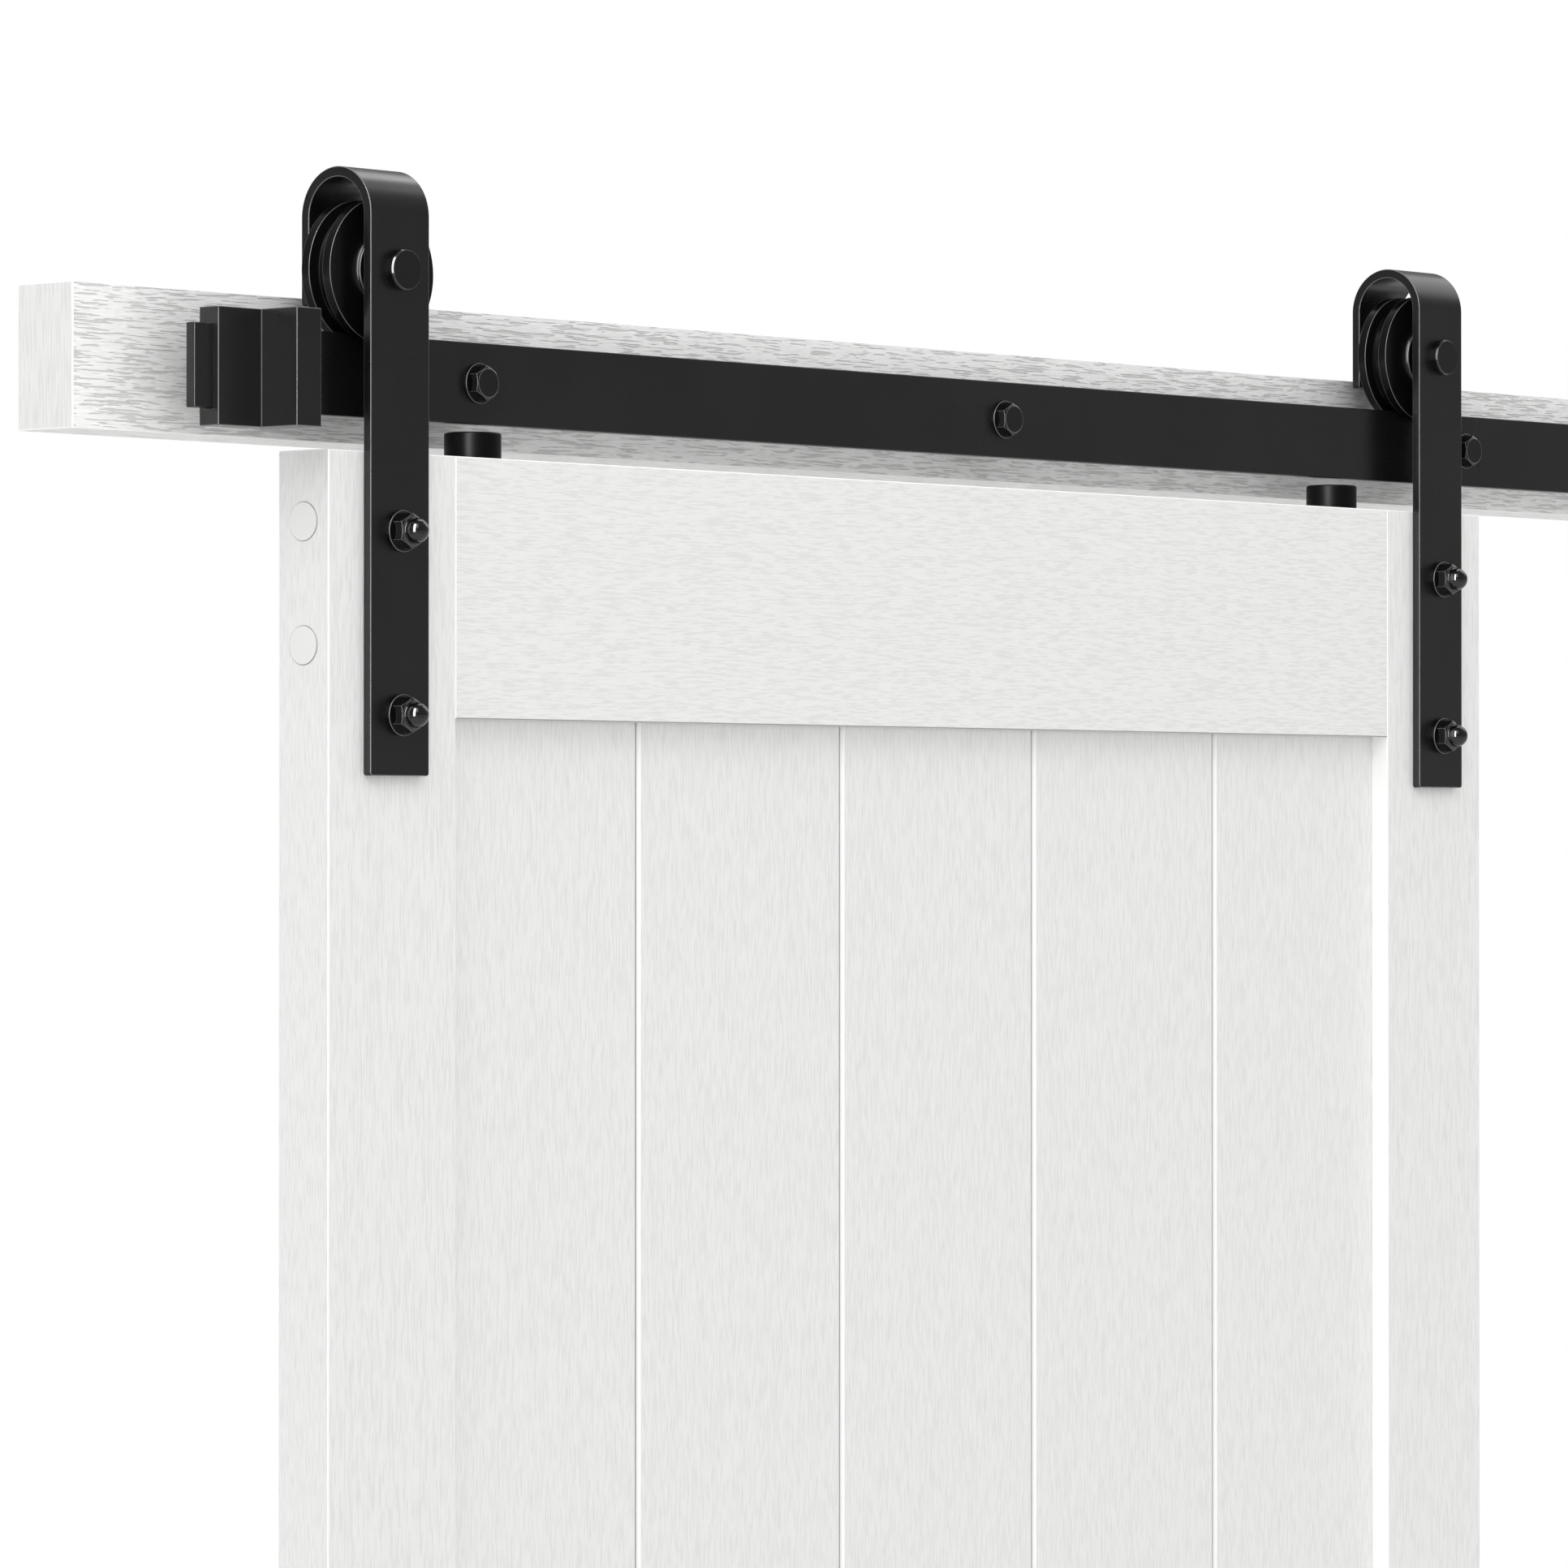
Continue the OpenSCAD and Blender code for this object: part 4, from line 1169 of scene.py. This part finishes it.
bolt_places = [
    (span(hanger)[2].x, 0, door_top - depth)
    for hanger in ("hanger_left", "hanger_right")
    for depth in (BOLT_INSET, BOLT_INSET + BOLT_PITCH)
]
dome_nuts = bmesh.new()
for centre in bolt_places:
    rim = strap_front - NUT_FLANGE
    hex_face = rim - NUT_HEX
    flange = [(FLANGE_BORE, rim)]
    flange += arc(NUT_FLANGE_RADIUS - NUT_RIM, rim + NUT_RIM, NUT_RIM, -90, 0, 4)
    flange += [(NUT_FLANGE_RADIUS, strap_front), (FLANGE_BORE, strap_front)]
    lathe(dome_nuts, centre, "y", flange, closed=True)
    give_second_finish_on_rim(dome_nuts, centre, "y", NUT_FLANGE_RADIUS - NUT_RIM, NUT_FLANGE_RADIUS)
    add_hex_head(dome_nuts, centre, rim + HEX_SUNK, hex_face, NUT_FLATS, NUT_FACE_RADIUS)
    dome = arc(0.0, hex_face - DOME_RISE, DOME_RADIUS, -90, 0, 16)
    dome += arc(DOME_RADIUS + DOME_FOOT, hex_face - DOME_FOOT, DOME_FOOT, 180, 90, 3)
    dome += [(0.0, hex_face + DOME_SUNK)]
    lathe(dome_nuts, centre, "y", dome)
finish_piece(dome_nuts, "dome_nuts", [FINISHES["black_gloss"], PAINTED_HIGHLIGHT_DARK_FINISH])

# %% [markdown]
# Behind the door each bolt ends in a low button head with a hex socket, on a plain washer.

# %% Hanger bolts
BOLT_RADIUS = 4 * MM
BUTTON_RADIUS = 8 * MM
BUTTON_FACE = 5 * MM
BUTTON_HEIGHT = 4.5 * MM
BUTTON_RIM = 2 * MM
BUTTON_CORNER = 0.4 * MM
BUTTON_SHOULDER_IN, BUTTON_SHOULDER_UP = 1.4 * MM, 1.7 * MM
SOCKET_FLATS = 5 * MM
SOCKET_DEPTH = 3 * MM
WASHER_T = 1.5 * MM

bolts = bmesh.new()
for centre in bolt_places:
    seat = door_back + WASHER_T
    face = seat + BUTTON_HEIGHT
    profile = [(0.0, strap_front - NUT_HEX), (BOLT_RADIUS, strap_front - NUT_HEX), (BOLT_RADIUS, seat)]
    rim = seat + BUTTON_RIM
    profile += [(BUTTON_RADIUS, seat), (BUTTON_RADIUS, rim - BUTTON_CORNER)]
    profile += [(BUTTON_RADIUS - BUTTON_CORNER, rim + BUTTON_CORNER)]
    profile += [(BUTTON_RADIUS - BUTTON_SHOULDER_IN, rim + BUTTON_SHOULDER_UP), (BUTTON_FACE, face)]
    lathe(bolts, centre, "y", profile, steps=HEX_STEPS)
    hex_socket(bolts, centre, "y", face, -SOCKET_DEPTH, SOCKET_FLATS, BUTTON_FACE)
finish_piece(bolts, "hanger_bolts", sharp=28.0)

# %% Washers
WASHER_RADIUS = 11 * MM
WASHER_EASE = 0.3 * MM
WASHER_BORE = BOLT_RADIUS + 0.05 * MM
washer = ring_profile(WASHER_BORE, WASHER_RADIUS, door_back, door_back + WASHER_T, WASHER_EASE, 2)
washers = bmesh.new()
for centre in bolt_places:
    lathe(washers, centre, "y", washer, closed=True)
finish_piece(washers, "hanger_washers")

# %% [markdown]
# ## Small fittings
# The anti-jump discs keep the door from lifting off the track. Each is a turned nylon puck with a
# sunk screw.

# %% Anti-jump discs
DISC_RADIUS = 14 * MM
DISC_ROUND = 1.2 * MM
SINK_RADIUS = 5.5 * MM
SINK_DEPTH = 3 * MM
DISC_BORE = 2.55 * MM
DISC_FOOT = 0.4 * MM
SINK_EDGE = 0.3 * MM
DISCS = ("anti_jump_disc_left", "anti_jump_disc_right")
for node in DISCS:
    low, high, middle = span(node)
    profile = [(DISC_BORE, low.z), (DISC_RADIUS - DISC_FOOT, low.z), (DISC_RADIUS, low.z + DISC_FOOT)]
    profile += arc(DISC_RADIUS - DISC_ROUND, high.z - DISC_ROUND, DISC_ROUND, 0, 90, 5)
    profile += [(SINK_RADIUS + SINK_EDGE, high.z), (SINK_RADIUS, high.z - SINK_EDGE)]
    profile += [(SINK_RADIUS, high.z - SINK_DEPTH), (DISC_BORE, high.z - SINK_DEPTH)]
    disc = bmesh.new()
    lathe(disc, (middle.x, middle.y, 0), "z", profile, closed=True)
    finish_piece(disc, node, [DISC_FINISH])

# %% Disc screws
DISC_HEAD_RADIUS = 5 * MM
DISC_HEAD = 2.5 * MM
DISC_SHANK_RADIUS = 2.5 * MM
DRIVE_FLATS = 3 * MM
DRIVE_DEPTH = 1.6 * MM
HEAD_ROUND = 0.8 * MM
HEAD_FACE = DISC_HEAD_RADIUS - HEAD_ROUND
TIP_RADIUS, TIP_RISE, TAPER = 0.8 * MM, 0.5 * MM, 6 * MM
foot, top = (corner.z for corner in span("disc_screws")[:2])
seat = top - DISC_HEAD
profile = [(0.0, foot), (TIP_RADIUS, foot + TIP_RISE), (DISC_SHANK_RADIUS, foot + TAPER)]
profile += [(DISC_SHANK_RADIUS, seat), (DISC_HEAD_RADIUS, seat)]
profile += arc(HEAD_FACE, top - HEAD_ROUND, HEAD_ROUND, 0, 90, 4)
disc_screws = bmesh.new()
for node in DISCS:
    middle = span(node)[2]
    centre = (middle.x, middle.y, 0)
    lathe(disc_screws, centre, "z", profile, steps=HEX_STEPS)
    hex_socket(disc_screws, centre, "z", top, -DRIVE_DEPTH, DRIVE_FLATS, HEAD_FACE)
finish_piece(disc_screws, "disc_screws")

# %% [markdown]
# Each stop is clamped from below by two socket set screws.

# %% Stop set screws
SET_RADIUS = 3 * MM
SET_FLATS = 3 * MM
SET_SOCKET = 3 * MM
SET_INSET = 5.5 * MM
SET_PITCH = 24 * MM
SET_TIP = 0.5 * MM
SET_EDGE = 0.3 * MM
set_low, set_high, set_middle = span("stop_set_screws")
set_screws = bmesh.new()
for edge_x, way in ((span("stop_left")[0].x, 1), (span("stop_right")[1].x, -1)):
    for index in (0, 1):
        centre = (edge_x + way * (SET_INSET + index * SET_PITCH), set_middle.y, 0)
        profile = [(0.0, set_high.z), (SET_RADIUS - SET_TIP, set_high.z)]
        profile += [(SET_RADIUS, set_high.z - SET_TIP)]
        profile += [(SET_RADIUS, set_low.z + SET_EDGE), (SET_RADIUS - SET_EDGE, set_low.z)]
        lathe(set_screws, centre, "z", profile, steps=HEX_STEPS)
        hex_socket(set_screws, centre, "z", set_low.z, SET_SOCKET, SET_FLATS, SET_RADIUS - SET_EDGE)
finish_piece(set_screws, "stop_set_screws")

# %% [markdown]
# The frame bolts are hidden in the wood, so their imported mesh stays and only takes a finish.

# %% Hidden frame bolts
frame_bolts = frame["nodes"]["frame_bolts"]
frame_bolts.data.materials.clear()
frame_bolts.data.materials.append(FINISHES["bright_steel"])
print("frame bolts keep their packed mesh")
